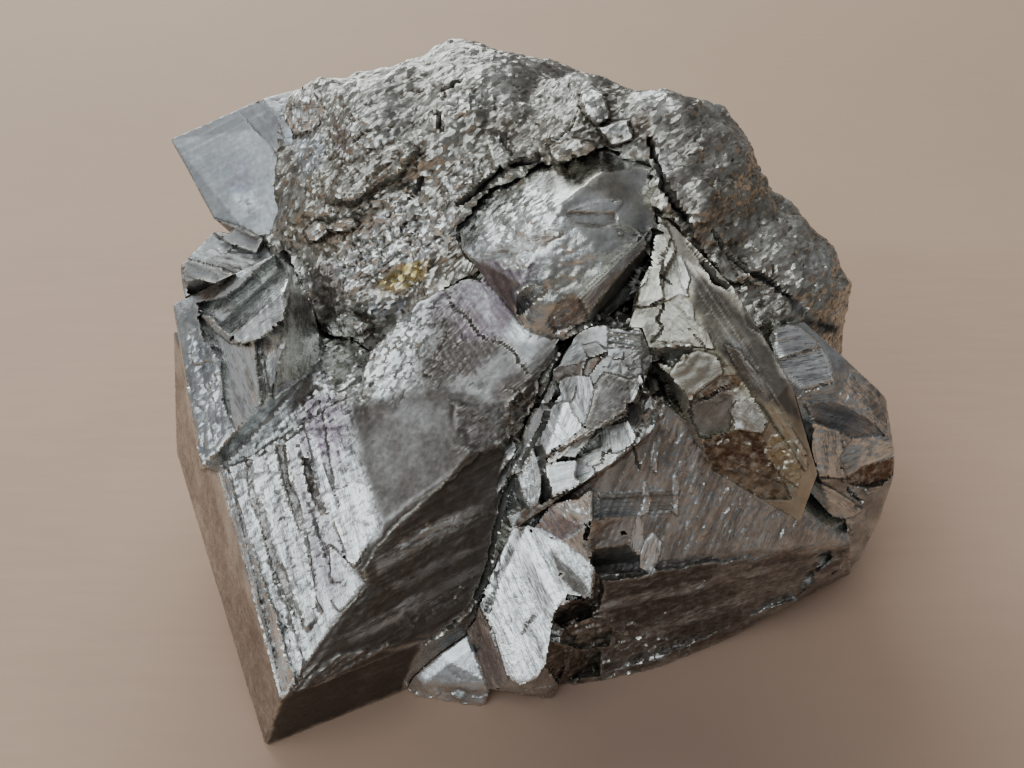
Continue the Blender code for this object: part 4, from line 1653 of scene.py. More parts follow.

# Facet masks paint tone: pale paints highlight on the bright block and the leaves that catch the lights;
# rust and matte paint shade on step walls, crevices, hollows and turned-away faces, with some brown stain;
# purple and yellow are stains.
BROKEN_FACETS = (
    # The long face over the foot.
    Facet((602, 580, 700, 563, 843, 550, 843, 572, 718, 634, 604, 674, 570, 682, 562, 632, 600, 606), 0.0,
        (0, 0), MATTE_AND_SHADE, 0.2, 5.0, 0.4),
    # The head: blocks round the dark red hollow.
    Facet((560, 364, 562, 352, 573, 335, 582, 345, 588, 356, 585, 361, 575, 364), 0.3, (-4, 3), PALE_AND_HIGHLIGHT, 0.6),
    Facet((551, 378, 556, 366, 578, 364, 585, 361, 578, 376, 566, 374, 556, 380), -0.4, (4, -10), RUST_AND_SHADE,
        0.7),
    Facet((582, 345, 596, 342, 607, 352, 605, 357, 597, 356, 588, 356), 0.3, (0, 0), MATTE_AND_SHADE, 0.3),
    Facet((607, 353, 600, 358, 594, 366, 586, 378, 583, 372, 588, 360, 597, 356), -1.0, (0, -6), RUST_AND_SHADE, 1.0),
    Facet((541, 372, 549, 369, 552, 380, 555, 392, 550, 403, 542, 400, 540, 385), 0.5, (-4, 0), PALE_AND_HIGHLIGHT, 0.15),
    # The tall pale face, in four planes.
    Facet((556, 383, 566, 377, 577, 376, 574, 395, 571, 402, 560, 402, 551, 405, 557, 398), 0.1, (3, -3),
        PALE_AND_HIGHLIGHT, 0.25),
    Facet((577, 376, 590, 377, 593, 388, 593, 402, 588, 420, 581, 410, 576, 400, 578, 390), 0.2, (-3, 0),
        PALE_AND_HIGHLIGHT, 0.5),
    Facet((545, 418, 551, 405, 560, 402, 571, 402, 575, 411, 584, 425, 566, 440, 552, 450, 545, 459,
        540, 446), 0.0, (0, 2), PALE_AND_HIGHLIGHT, 0.35),
    Facet((571, 402, 576, 400, 581, 410, 588, 420, 584, 426, 575, 411), 0.2, (-5, 4), PALE_AND_HIGHLIGHT, 1.0),
    Facet((547, 410, 556, 418, 566, 436, 562, 442, 553, 430, 546, 420), 0.2, (-4, 3), PALE_AND_HIGHLIGHT, 0.9),
    # The brown face beside it, and the bright slivers at its edge.
    Facet((593, 402, 596, 385, 605, 372, 628, 380, 640, 378, 632, 395, 629, 405, 628, 415, 604, 427,
        590, 429, 584, 425, 588, 420), 0.0, (2, -4), MATTE_AND_SHADE, 0.55, 0.0, 0.5),
    Facet((640, 375, 642, 382, 635, 400, 634, 406, 630, 404, 631, 392), 0.4, (-5, 3), PALE_AND_HIGHLIGHT, 0.9),
    Facet((628, 405, 640, 402, 643, 418, 632, 430, 626, 420), 0.3, (-3, 3), PALE_AND_HIGHLIGHT, 0.45),
    Facet((619, 426, 626, 421, 632, 430, 636, 440, 628, 445, 622, 436), 0.5, (-4, 4), PALE_AND_HIGHLIGHT, 0.9),
    Facet((645, 376, 656, 380, 659, 388, 650, 396, 642, 392), 0.4, (0, 2), PALE_AND_HIGHLIGHT, 0.1),
    Facet((655, 397, 664, 396, 664, 408, 656, 411), 0.5, (-2, 2), PALE_AND_HIGHLIGHT, 0.3),
    Facet((650, 410, 662, 414, 657, 422, 646, 428, 643, 418), 0.3, (-2, 0), PALE_AND_HIGHLIGHT, 0.2),
    # The dark crevice, and the face under it.
    Facet((562, 456, 572, 444, 582, 436, 590, 429, 601, 430, 576, 458), -0.3, (4, -4), MATTE_AND_SHADE, 0.5),
    Facet((545, 464, 552, 453, 566, 442, 584, 428, 590, 429, 582, 436, 572, 444, 562, 456, 553, 461), -0.9,
        (0, -14), RUST_AND_SHADE, 1.0),
    Facet((546, 466, 556, 462, 576, 460, 590, 466, 600, 462, 606, 452, 612, 452, 625, 446, 622, 456,
        600, 470, 575, 487, 552, 497, 548, 480), 0.2, (-1, 0), PALE_AND_HIGHLIGHT, 0.25),
    Facet((577, 466, 590, 466, 594, 473, 582, 483, 575, 475), 0.35, (-3, 3), PALE_AND_HIGHLIGHT, 0.7),
    Facet((576, 458, 601, 447, 600, 462, 590, 466, 578, 463), 0.3, (0, 2), YELLOW, 0.12),
    Facet((600, 430, 607, 427, 611, 445, 606, 452, 600, 450), 0.5, (-6, 4), PALE_AND_HIGHLIGHT, 0.85),
    Facet((607, 427, 622, 424, 630, 444, 612, 452), 0.3, (3, 0), PALE_AND_HIGHLIGHT, 0.15),
    # The brightest leaf and its neighbours, on the crack's edge.
    Facet((535, 448, 541, 446, 546, 462, 541, 470, 548, 480, 552, 497, 541, 503, 541, 475, 537, 462), -0.1,
        (4, -4), MATTE_AND_SHADE, 0.4),
    Facet((533, 452, 537, 462, 541, 475, 541, 492, 537, 503, 528, 507, 524, 498, 520, 483, 519, 477,
        527, 463), 0.4, (-3, 4), PALE_AND_HIGHLIGHT, 1.0),
    Facet((519, 477, 520, 483, 524, 498, 528, 507, 520, 509, 515, 500, 512, 490), 0.0, (3, -3), MATTE_AND_SHADE, 0.2),
    Facet((504, 499, 512, 490, 515, 500, 520, 509, 510, 514, 503, 512), 0.3, (-3, 3), PALE_AND_HIGHLIGHT, 0.8),
    # The bright block: three bands, a groove, and the part right of it.
    Facet((491, 562, 497, 537, 507, 530, 530, 580, 551, 628, 549, 645, 553, 655, 537, 679, 521, 685,
        508, 678, 494, 630, 487, 622, 476, 596, 484, 575), 0.0, (0, 0), PALE_AND_HIGHLIGHT, 1.0),
    Facet((507, 530, 516, 526, 529, 525, 556, 580, 567, 593, 565, 600, 560, 607, 557, 613, 551, 628,
        530, 580), 0.0, (-1, 1), PALE_AND_HIGHLIGHT, 0.9),
    Facet((529, 525, 540, 530, 549, 536, 553, 557, 570, 585, 583, 597, 567, 593, 556, 580), -0.1, (2, -1),
        PALE_AND_HIGHLIGHT, 0.5),
    Facet((549, 536, 558, 539, 573, 533, 590, 520, 582, 535, 588, 556, 595, 572, 592, 598, 575, 575,
        553, 557), 0.2, (0, 0), PALE_AND_HIGHLIGHT, 0.55),
    Facet((549, 545, 553, 555, 575, 573, 592, 598, 583, 598, 570, 587, 560, 575), -0.45, (0, 0), MATTE_AND_SHADE,
        0.8),
    Facet((491, 562, 500, 552, 497, 590, 488, 612, 476, 596, 484, 575), 0.1, (-3, 2), PALE_AND_HIGHLIGHT, 0.9),
    # The dark striated strip and the bright one above the block.
    Facet((535, 526, 550, 508, 567, 518, 578, 524, 592, 519, 575, 532, 562, 539, 549, 536), -0.3, (4, -8),
        PURPLE, 0.9),
    Facet((549, 506, 566, 501, 578, 499, 588, 490, 592, 491, 592, 519, 578, 524, 567, 518), 0.3, (-3, 2),
        PALE_AND_HIGHLIGHT, 0.75),
    # Right of the block: brown wedge, grey plane, slivers and the bright flake.
    Facet((592, 519, 637, 512, 640, 518, 632, 530, 610, 538, 600, 545, 590, 560, 583, 545, 590, 532), -0.5,
        (0, -10), RUST_AND_SHADE, 0.9),
    Facet((597, 545, 611, 538, 630, 530, 640, 550, 640, 572, 597, 572, 590, 560), 0.1, (0, 0), MATTE_AND_SHADE, 0.2),
    Facet((600, 493, 680, 492, 672, 510, 640, 514, 600, 517), 0.0, (2, -4), MATTE_AND_SHADE, 0.45),
    Facet((638, 515, 643, 525, 643, 541, 637, 555, 631, 546, 632, 531), 0.4, (-3, 2), PALE_AND_HIGHLIGHT, 0.5),
    Facet((654, 533, 661, 541, 660, 552, 655, 566, 651, 574, 640, 568, 640, 555, 643, 546, 651, 537), 0.7,
        (-5, 5), PALE_AND_HIGHLIGHT, 1.0),
    Facet((646, 482, 650, 500, 648, 512, 640, 516, 644, 500), 0.5, (-8, 4), PALE_AND_HIGHLIGHT, 0.8),
    Facet((655, 442, 659, 446, 658, 474, 652, 470), 0.5, (-6, 4), PALE_AND_HIGHLIGHT, 0.55),
    Facet((674, 476, 678, 480, 676, 516, 672, 512), 0.5, (-6, 4), PALE_AND_HIGHLIGHT, 0.45),
    # The hollow right of the block's foot, and the rough blocks under it.
    Facet((563, 600, 585, 599, 592, 605, 590, 616, 565, 626, 555, 620), -0.8, (0, -8), RUST_AND_SHADE, 1.0),
    Facet((567, 626, 590, 618, 612, 628, 610, 645, 575, 648), 0.4, (0, 4), YELLOW, 0.10, 0.0, 0.6),
    Facet((551, 640, 575, 648, 600, 650, 600, 675, 560, 682, 548, 665), -0.5, (0, -8), RUST_AND_SHADE, 0.9, 0.0, 0.5),
    Facet((476, 600, 487, 624, 497, 650, 508, 680, 498, 688, 488, 688, 478, 660, 465, 628), 0.0, (0, 0),
        PURPLE, 0.35, 0.0, 0.0),
)

BROKEN_LINES = (
    Lines(BLOCK_FACE, (38, 82), 0.9, 0.05, 1.0),
    Lines(LINED_SLOPE, (-14, 34), 0.9, 0.08, 0.6),
    Lines((600, 493, 680, 492, 674, 516, 600, 520), (100, -3), 0.8, 0.07, 1.0),
    Lines(FOOT_BAND, (100, -36), 1.8, 0.10, 0.8),
    Lines((556, 383, 592, 373, 590, 400, 575, 440, 545, 460, 546, 405), (20, 60), 0.9, 0.06, 0.6),
    Lines((535, 526, 550, 508, 592, 488, 592, 520, 562, 539), (24, 36), 0.7, 0.14, 0.9),
    Lines((606, 330, 650, 326, 652, 350, 606, 350), (80, 12), 1.0, 0.25, 0.4),
)

BROKEN_CHIPS = (
    Chips((657, 405, 700, 442, 760, 500, 850, 540, 700, 556, 660, 545, 640, 470), 1.3, 0.12, 91, 10.0, 0.3,
        (-0.35, 1.0), 2.2),
    Chips((600, 352, 650, 345, 660, 375, 640, 380, 605, 372), 1.1, 0.21, 92, 8.0, 0.3, (1.0, -1.0), 1.8),
    Chips((593, 402, 605, 372, 640, 378, 628, 415, 590, 428), 0.9, 0.1, 98, 6.0, 0.3, (1.0, -1.0), 1.8),
    Chips((630, 372, 665, 378, 664, 425, 636, 430), 1.2, 0.19, 93, 8.0),
    Chips((556, 600, 604, 612, 700, 640, 690, 665, 600, 680, 540, 690, 548, 660), 1.6, 0.25, 94, 8.0),
    Chips((400, 686, 500, 690, 560, 682, 560, 704, 400, 704), 1.4, 0.2, 96, 4.0),
    Chips((700, 560, 850, 548, 850, 575, 720, 640, 640, 640), 1.8, 0.1, 97, 8.0, 0.2, (1.0, -0.3), 2.4),
)

BROKEN_CRACKS = (
    Crack((503, 520, 510, 512, 518, 507), 2.2, 0.5),
    Crack((576, 457, 600, 430, 628, 416), 3.4, 0.7),
    Crack((497, 572, 494, 590, 486, 612), 2.4, 0.4),
    Crack((520, 634, 530, 622, 540, 612), 2.0, 0.3),
    Crack((640, 430, 634, 446, 640, 470), 3.0, 0.6),
)

# Washes: rust and matte paint shade on the step wall, the foot band and the head, with some brown stain;
# pale paints highlight along the lined slope and the foot; blue and yellow are stains.
BROKEN_WASHES = (
    Wash(RUST_AND_SHADE, STEP_WALL, 1.0, 2.0, 0.15),
    Wash(MATTE_AND_SHADE, STEP_WALL, 0.4, 2.0, 0.2),
    Wash(RUST_AND_SHADE, FOOT_BAND, 0.75, 6.0, 0.4),
    Wash(MATTE_AND_SHADE, FOOT_BAND, 0.45, 6.0, 0.5),
    Wash(MATTE_AND_SHADE, LINED_SLOPE, 0.5, 8.0, 0.5),
    Wash(MATTE_AND_SHADE, HEAD, 0.6, 6.0, 0.5),
    Wash(RUST_AND_SHADE, HEAD, 0.3, 6.0, 0.7),
    Wash(MATTE_AND_SHADE, (546, 466, 600, 448, 625, 446, 600, 470, 552, 497), 0.6, 4.0, 0.5),
    Wash(MATTE_AND_SHADE, BLOCK_STRIP, 0.85, 3.0, 0.3),
    Wash(RUST_AND_SHADE, BLOCK_STRIP, 0.25, 3.0, 0.5),
    Wash(MATTE_AND_SHADE, (546, 548, 552, 558, 574, 580, 588, 597, 570, 594, 556, 578), 0.7, 3.0, 0.3),
    Wash(PALE_AND_HIGHLIGHT, LINED_SLOPE, 0.3, 14.0, 0.9),
    Wash(BLUE, LINED_SLOPE, 0.12, 14.0, 0.9),
    Wash(PALE_AND_HIGHLIGHT, (640, 630, 700, 607, 780, 579, 845, 560, 845, 567, 780, 591, 700, 619, 640, 643), 0.4, 4.0,
        0.9),
    Wash(PALE_AND_HIGHLIGHT, (604, 602, 700, 581, 790, 561, 790, 567, 700, 590, 604, 612), 0.3, 3.0, 0.9),
    Wash(RUST_AND_SHADE, (600, 442, 655, 438, 650, 475, 612, 480), 0.5, 8.0, 0.6),
    Wash(RUST_AND_SHADE, (598, 318, 645, 316, 650, 334, 610, 332), 0.4, 6.0, 0.4),
    Wash(YELLOW, (600, 320, 640, 322, 648, 340, 610, 336), 0.1, 6.0, 0.6),
    Wash(BLUE, SMALL_BLOCK, 0.25, 4.0, 0.1),
    Wash(PALE_AND_HIGHLIGHT, SMALL_BLOCK, 0.3, 4.0, 0.1),
    Wash(GRAIN, (657, 405, 700, 442, 760, 500, 850, 540, 700, 556, 650, 545), 0.5, 8.0, 0.7),
    Wash(GRAIN, (600, 345, 655, 340, 665, 420, 640, 430, 610, 372), 0.8, 8.0, 0.3),
    Wash(GRAIN, FOOT_BAND, 0.45, 8.0, 0.4),
)


@dataclass
class BrokenCrystal(Piece):
    """The large crystal at the lower right, with its broken steps and the bright block."""

    node: str = "right_crystal"
    slot: str = "broken_pyrite"
    finish: PyriteFinish = PyriteFinish("broken_pyrite", lines_per_mm=2.0, hollow_darkening=0.25)
    voxel_mm: float = 0.5
    facets: tuple[Facet, ...] = BROKEN_FACETS
    lines: tuple[Lines, ...] = BROKEN_LINES
    chips: tuple[Chips, ...] = BROKEN_CHIPS
    cracks: tuple[Crack, ...] = BROKEN_CRACKS
    washes: tuple[Wash, ...] = BROKEN_WASHES
    leans_on: tuple[str, ...] = ("left_crystal",)


# ---------------------------------------------------------------- the wedge

SHELL = (684, 356, 700, 352, 718, 358, 722, 372, 716, 390, 696, 397, 680, 390, 668, 376)

# Facet masks paint tone: pale paints highlight on faces that catch the lights; rust and matte paint shade
# on faces that turn away and on the shell-like break, with some brown stain; purple and yellow are stains.
RIDGE_FACETS = (
    Facet((680, 290, 692, 304, 694, 322, 708, 333, 714, 350, 690, 346, 654, 340, 660, 322, 664, 304), 0.25,
        (-2, 2), PALE_AND_HIGHLIGHT, 0.1),
    Facet((654, 226, 665, 222, 674, 250, 660, 280, 664, 302, 645, 306, 632, 306, 648, 270), 0.1, (-2, 0),
        PALE_AND_HIGHLIGHT, 0.15),
    Facet((665, 280, 674, 262, 684, 282, 688, 296, 680, 292, 664, 302), 0.2, (-3, 2), PALE_AND_HIGHLIGHT, 0.2),
    Facet((674, 256, 680, 256, 690, 278, 686, 292, 678, 272), 0.4, (-5, 3), PALE_AND_HIGHLIGHT, 0.6),
    Facet((654, 348, 668, 344, 692, 346, 690, 358, 672, 366, 656, 364), 0.4, (-2, 4), PALE_AND_HIGHLIGHT, 0.8, 0.0, 0.9),
    Facet(SHELL, -0.5, (2, -3), MATTE_AND_SHADE, 0.5, 0.0, 0.2),
    Facet((652, 364, 668, 376, 680, 390, 696, 397, 688, 410, 700, 446, 710, 470, 704, 468, 686, 432,
        674, 402), 0.3, (-3, 0), PURPLE, 0.35),
    Facet((690, 402, 716, 392, 732, 396, 730, 412, 728, 430, 700, 440, 692, 420), -0.6, (3, -8), MATTE_AND_SHADE,
        0.6),
    Facet((694, 396, 720, 376, 746, 374, 736, 388, 716, 392, 694, 403), -0.3, (0, -6), RUST_AND_SHADE, 0.8),
    Facet((736, 402, 750, 400, 768, 420, 762, 432, 738, 430, 730, 412), 0.5, (0, 4), PALE_AND_HIGHLIGHT, 0.2),
    Facet((733, 424, 742, 423, 743, 430, 735, 431), 0.7, (-3, 6), PALE_AND_HIGHLIGHT, 1.0),
    Facet((700, 440, 738, 430, 762, 434, 770, 456, 784, 480, 790, 500, 752, 500, 716, 484), -0.3, (2, -6),
        RUST_AND_SHADE, 0.6, 0.0, 0.4),
    Facet((772, 436, 782, 432, 794, 456, 800, 466, 798, 486, 786, 478, 764, 452), 0.5, (-4, 2), YELLOW,
        0.22, 0.0, 0.4),
    Facet((726, 346, 740, 352, 775, 400, 806, 452, 806, 470, 798, 458, 768, 416, 742, 380), 0.25, (-2, 0),
        MATTE_AND_SHADE, 0.15),
    Facet((736, 288, 752, 284, 782, 306, 780, 320, 748, 302), 0.3, (0, 4), PALE_AND_HIGHLIGHT, 0.2),
    Facet((744, 306, 780, 320, 764, 334, 748, 326), -0.3, (2, -6), MATTE_AND_SHADE, 0.5),
)

RIDGE_LINES = (
    Lines((665, 302, 692, 290, 714, 350, 690, 346, 655, 340), (40, 34), 0.7, 0.05, 0.5),
    Lines((690, 260, 740, 320, 815, 470, 790, 460, 712, 352), (50, 75), 1.2, 0.14, 0.5),
    Lines((700, 434, 765, 435, 785, 480, 780, 510, 712, 480), (70, 30), 1.6, 0.2, 0.3),
)

RIDGE_CHIPS = (
    Chips((654, 342, 692, 342, 692, 366, 656, 368), 1.1, 0.25, 101, 5.0),
    Chips((700, 434, 790, 440, 790, 510, 712, 480), 1.8, 0.15, 103, 10.0, 0.2, blocky=0.4),
    Chips((690, 280, 740, 330, 800, 440, 815, 490, 780, 440, 700, 340), 1.6, 0.06, 104, 10.0),
    Chips((764, 440, 800, 440, 800, 490, 780, 486), 1.2, 0.19, 105, 6.0, 0.3, (0.6, 1.0), 2.4),
)

RIDGE_CRACKS = (
    Crack((650, 356, 662, 378, 676, 402, 686, 432, 700, 462, 722, 492, 760, 506), 4.6, 1.2),
    Crack((700, 399, 716, 393, 724, 386), 3.0, 0.6),
    Crack((690, 330, 700, 340, 706, 352), 2.0, 0.3),
    Crack((748, 310, 764, 314, 780, 322), 2.4, 0.5),
    Crack((672, 236, 664, 256, 662, 276, 672, 284), 2.2, 0.5),
)

# Washes: rust and matte darken the wedge, as brown stain and painted shade; pale paints a highlight line;
# yellow is stain.
RIDGE_WASHES = (
    Wash(RUST_AND_SHADE, (690, 402, 740, 396, 790, 440, 785, 510, 712, 485), 0.35, 10.0, 0.5),
    Wash(RUST_AND_SHADE, (678, 226, 700, 262, 740, 300, 760, 340, 730, 336, 690, 290), 0.55, 12.0, 0.5),
    Wash(RUST_AND_SHADE, (700, 396, 716, 392, 745, 378, 745, 390, 706, 408), 0.8, 5.0, 0.3),
    Wash(YELLOW, (690, 290, 740, 330, 800, 440, 815, 490, 770, 420, 700, 340), 0.14, 12.0, 0.6),
    Wash(MATTE_AND_SHADE, (740, 316, 770, 330, 800, 400, 815, 480, 800, 440, 760, 380), 0.4, 8.0, 0.5),
    Wash(MATTE_AND_SHADE, (690, 270, 720, 290, 770, 345, 800, 420, 760, 400, 715, 350, 695, 310), 1.0, 10.0, 0.4),
    Wash(PALE_AND_HIGHLIGHT, (716, 318, 724, 318, 770, 392, 764, 398), 0.3, 6.0, 0.8),
    Wash(GRAIN, (700, 434, 790, 440, 800, 500, 712, 480), 0.5, 8.0, 0.3),
)


@dataclass
class RidgeCrystal(Piece):
    """The long wedge right of the middle, with its shell-like break ringed round a middle."""

    node: str = "ridge_crystal"
    slot: str = "tarnished_pyrite"
    finish: PyriteFinish = PyriteFinish(
        "tarnished_pyrite", light=(0.54, 0.52, 0.45), deep=(0.36, 0.34, 0.27), roughness=0.36,
        lines_per_mm=2.0, streak=0.5, hollow_darkening=0.35,
    )
    voxel_mm: float = 0.5
    facets: tuple[Facet, ...] = RIDGE_FACETS
    lines: tuple[Lines, ...] = RIDGE_LINES
    chips: tuple[Chips, ...] = RIDGE_CHIPS
    cracks: tuple[Crack, ...] = RIDGE_CRACKS
    washes: tuple[Wash, ...] = RIDGE_WASHES
    leans_on: tuple[str, ...] = ("right_crystal", "left_crystal")
    shell_soft: float = 3.0
    ring_middle: tuple[float, float] = (672.0, 350.0)
    ring_step: float = 4.5
    ring_mm: float = 0.1

    def texture(self, skin: Skin) -> None:
        """Adds the ripples of the shell-like break.

        Args:
            skin: the crystal's skin.
        """
        super().texture(skin)
        rings = np.hypot(*(skin.spots - np.array(self.ring_middle)).T) / self.ring_step
        shell = skin.sheet_weight(SHELL, self.shell_soft)
        skin.height += self.ring_mm * shell * np.abs(np.sin(rings))


# ---------------------------------------------------------------- the small corners

STRIPED_PATCH = (768, 335, 788, 325, 800, 328, 820, 346, 830, 362, 833, 382, 805, 389, 785, 376, 775, 358)
BACK_FACE = (172, 140, 262, 98, 300, 130, 300, 240, 212, 219)

# Facet masks paint tone: pale paints highlight on the striped patch and faces that catch the lights; rust
# and matte paint shade on faces that turn away.
RIGHT_FACETS = (
    Facet((768, 335, 788, 325, 800, 328, 820, 346, 802, 353, 776, 361), 0.25, (-6, 6), PALE_AND_HIGHLIGHT, 1.0),
    Facet((776, 361, 802, 353, 820, 347, 830, 362, 833, 382, 805, 389, 785, 376), 0.05, (-5, 5), PALE_AND_HIGHLIGHT, 1.0),
    Facet((805, 389, 833, 383, 840, 396, 826, 404, 808, 406, 800, 398), 0.0, (0, -3), MATTE_AND_SHADE, 0.15),
    Facet((805, 404, 826, 402, 850, 408, 866, 418, 888, 436, 850, 440, 836, 430, 815, 422), -0.3, (2, -4),
        MATTE_AND_SHADE, 0.6),
    Facet((840, 396, 852, 374, 872, 390, 888, 420, 888, 436, 866, 418, 850, 408), 0.2, (-1, 2), PALE_AND_HIGHLIGHT, 0.2),
    Facet((850, 440, 888, 436, 896, 452, 862, 466, 846, 478, 838, 458), 0.2, (0, 3), PALE_AND_HIGHLIGHT, 0.4),
    Facet((812, 424, 836, 430, 850, 440, 838, 458, 846, 478, 818, 476, 812, 450), 0.0, (0, 0), PALE_AND_HIGHLIGHT, 0.1),
    Facet((846, 479, 862, 467, 896, 456, 894, 474, 882, 484, 862, 487, 850, 484), -0.5, (0, -14), RUST_AND_SHADE,
        1.0),
    Facet((804, 490, 815, 482, 835, 490, 862, 510, 855, 515, 845, 519, 812, 506), 0.3, (0, 3), PALE_AND_HIGHLIGHT, 0.1),
    Facet((806, 508, 845, 520, 850, 532, 830, 536, 812, 530, 804, 520), 0.1, (0, -3), MATTE_AND_SHADE, 0.3),
    Facet((850, 490, 880, 486, 866, 508, 856, 506), 0.2, (0, 0), MATTE_AND_SHADE, 0.3),
)

RIGHT_LINES = (
    Lines(STRIPED_PATCH, (60, -10), 0.85, 0.07, 1.0),
    Lines((805, 395, 850, 400, 895, 455, 820, 482), (60, 12), 1.0, 0.07, 0.8),
    Lines((800, 485, 860, 505, 850, 540, 800, 530), (60, 22), 1.0, 0.08, 0.4),
)

RIGHT_CHIPS = (
    Chips((840, 370, 870, 370, 893, 430, 870, 430, 840, 400), 1.3, 0.13, 111, 8.0),
    Chips((850, 500, 880, 480, 870, 545, 840, 570), 1.6, 0.21, 112, 6.0),
    Chips((805, 400, 850, 404, 890, 440, 840, 470, 815, 440), 1, 0.1, 113, 8.0, 0.3, (1.0, -0.4), 1.8),
    Chips((840, 470, 880, 484, 860, 500, 836, 490), 1.3, 0.17, 114, 6.0),
)

RIGHT_CRACKS = (
    Crack((782, 362, 802, 354, 818, 349), 2.0, 0.4),
    Crack((804, 390, 820, 387, 833, 383), 2.0, 0.4),
    Crack((848, 488, 854, 498, 862, 502), 4.0, 0.9),
)

# Washes: dark paints shade on the turned-away faces, rust paints shade with some brown stain; blue is
# stain.
RIGHT_WASHES = (
    Wash(BLUE, STRIPED_PATCH, 0.2, 6.0, 0.3),
    Wash(BLUE, (805, 404, 826, 402, 866, 418, 888, 436, 850, 440, 836, 430), 0.45, 6.0, 0.5),
    Wash(DARK_SHADE, (820, 404, 850, 410, 862, 430, 840, 432, 822, 420), 0.45, 8.0, 0.5),
    Wash(DARK_SHADE, (842, 446, 860, 450, 858, 470, 846, 474), 0.45, 6.0, 0.4),
    Wash(RUST_AND_SHADE, (846, 479, 896, 456, 894, 474, 862, 487), 0.6, 4.0, 0.1),
    Wash(RUST_AND_SHADE, (812, 470, 846, 480, 850, 490, 820, 484), 0.7, 5.0, 0.3),
    Wash(GRAIN, (805, 395, 850, 370, 895, 455, 850, 560, 800, 530), 0.4, 6.0, 0.4),
)


@dataclass
class RightCorner(Piece):
    """The cube corner at the far right, with its bright striped patch."""

    node: str = "right_corner_crystal"
    slot: str = "bright_pyrite"
    finish: PyriteFinish = PyriteFinish("weathered_pyrite", roughness=0.36)
    voxel_mm: float = 0.5
    facets: tuple[Facet, ...] = RIGHT_FACETS
    lines: tuple[Lines, ...] = RIGHT_LINES
    chips: tuple[Chips, ...] = RIGHT_CHIPS
    cracks: tuple[Crack, ...] = RIGHT_CRACKS
    washes: tuple[Wash, ...] = RIGHT_WASHES
    leans_on: tuple[str, ...] = ("ridge_crystal", "right_crystal")


# Facet masks paint tone: matte and rust paint shade on the ledges that turn away, pale paints highlight on
# the one that catches the lights.
BACK_FACETS = (
    Facet((240, 112, 262, 98, 276, 120, 290, 150, 284, 160, 262, 136), -0.25, (-3, -2), MATTE_AND_SHADE, 0.25),
    Facet((212, 219, 240, 226, 262, 240, 255, 252, 232, 244, 216, 232), -0.3, (0, -6), MATTE_AND_SHADE, 0.5),
    Facet((180, 254, 190, 244, 212, 236, 234, 246, 226, 254, 198, 262), 0.3, (0, 5), PALE_AND_HIGHLIGHT, 0.2),
    Facet((198, 262, 226, 254, 262, 256, 252, 270, 232, 272, 212, 266), 0.0, (2, -4), RUST_AND_SHADE, 0.45),
    Facet((182, 262, 198, 262, 212, 266, 232, 272, 246, 280, 232, 290, 206, 280, 186, 276), -0.3, (0, -6),
        MATTE_AND_SHADE, 0.6),
    Facet((186, 277, 206, 281, 232, 291, 222, 298, 200, 298, 188, 292), 0.2, (0, -10), RUST_AND_SHADE, 0.6),
)

BACK_LINES = (
    Lines((172, 140, 262, 98, 290, 130, 280, 240, 212, 219), (50, -26), 1.6, 0.04, 0.3),
    Lines((182, 262, 230, 240, 288, 255, 232, 298, 184, 296), (60, 24), 1.4, 0.14, 0.5),
)

BACK_CHIPS = (
    Chips((270, 98, 310, 100, 310, 230, 285, 240, 275, 180), 1.4, 0.13, 121, 10.0),
    Chips((182, 250, 240, 232, 288, 252, 232, 298, 184, 298), 1.6, 0.08, 122, 8.0),
    Chips((232, 190, 256, 190, 262, 220, 240, 214), 1.2, 0.08, 123, 8.0),
)

# Washes: blue and purple are stains; pale paints a highlight; matte paints a little shade.
BACK_WASHES = (
    Wash(BLUE, BACK_FACE, 0.2, 10.0, 0.6),
    Wash(BLUE, (285, 130, 330, 130, 330, 180, 290, 190), 0.7, 10.0, 0.5),
    Wash(PALE_AND_HIGHLIGHT, (230, 196, 252, 192, 262, 206, 240, 210), 0.4, 8.0, 0.6),
    Wash(BLUE, (230, 190, 252, 190, 262, 206, 240, 210), 0.4, 8.0, 0.5),
    Wash(PURPLE, (228, 160, 248, 160, 250, 190, 232, 190), 0.25, 8.0, 0.6),
    Wash(MATTE_AND_SHADE, BACK_FACE, 0.15, 10.0, 0.3),
)


@dataclass
class BackCorner(Piece):
    """The smooth blue-grey corner at the back left, with ledges under it."""

    node: str = "back_left_crystal"
    slot: str = "smooth_pyrite"
    finish: PyriteFinish = PyriteFinish(
        "smooth_blue_grey_pyrite", light=(0.42, 0.43, 0.425), deep=(0.30, 0.305, 0.305), roughness=0.42,
        pitting=0.03,
    )
    voxel_mm: float = 0.5
    facets: tuple[Facet, ...] = BACK_FACETS
    lines: tuple[Lines, ...] = BACK_LINES
    chips: tuple[Chips, ...] = BACK_CHIPS
    washes: tuple[Wash, ...] = BACK_WASHES
    leans_on: tuple[str, ...] = ("left_crystal",)


# ---------------------------------------------------------------- the matrix

SILVER_PATCH = (
    336, 268, 352, 240, 378, 224, 396, 202, 405, 212, 440, 208, 466, 222, 462, 244, 430, 252, 400, 262,
    385, 276, 362, 282, 345, 284,
)
SILVER_LEDGE = (440, 182, 462, 152, 475, 158, 478, 176, 455, 204, 446, 200)

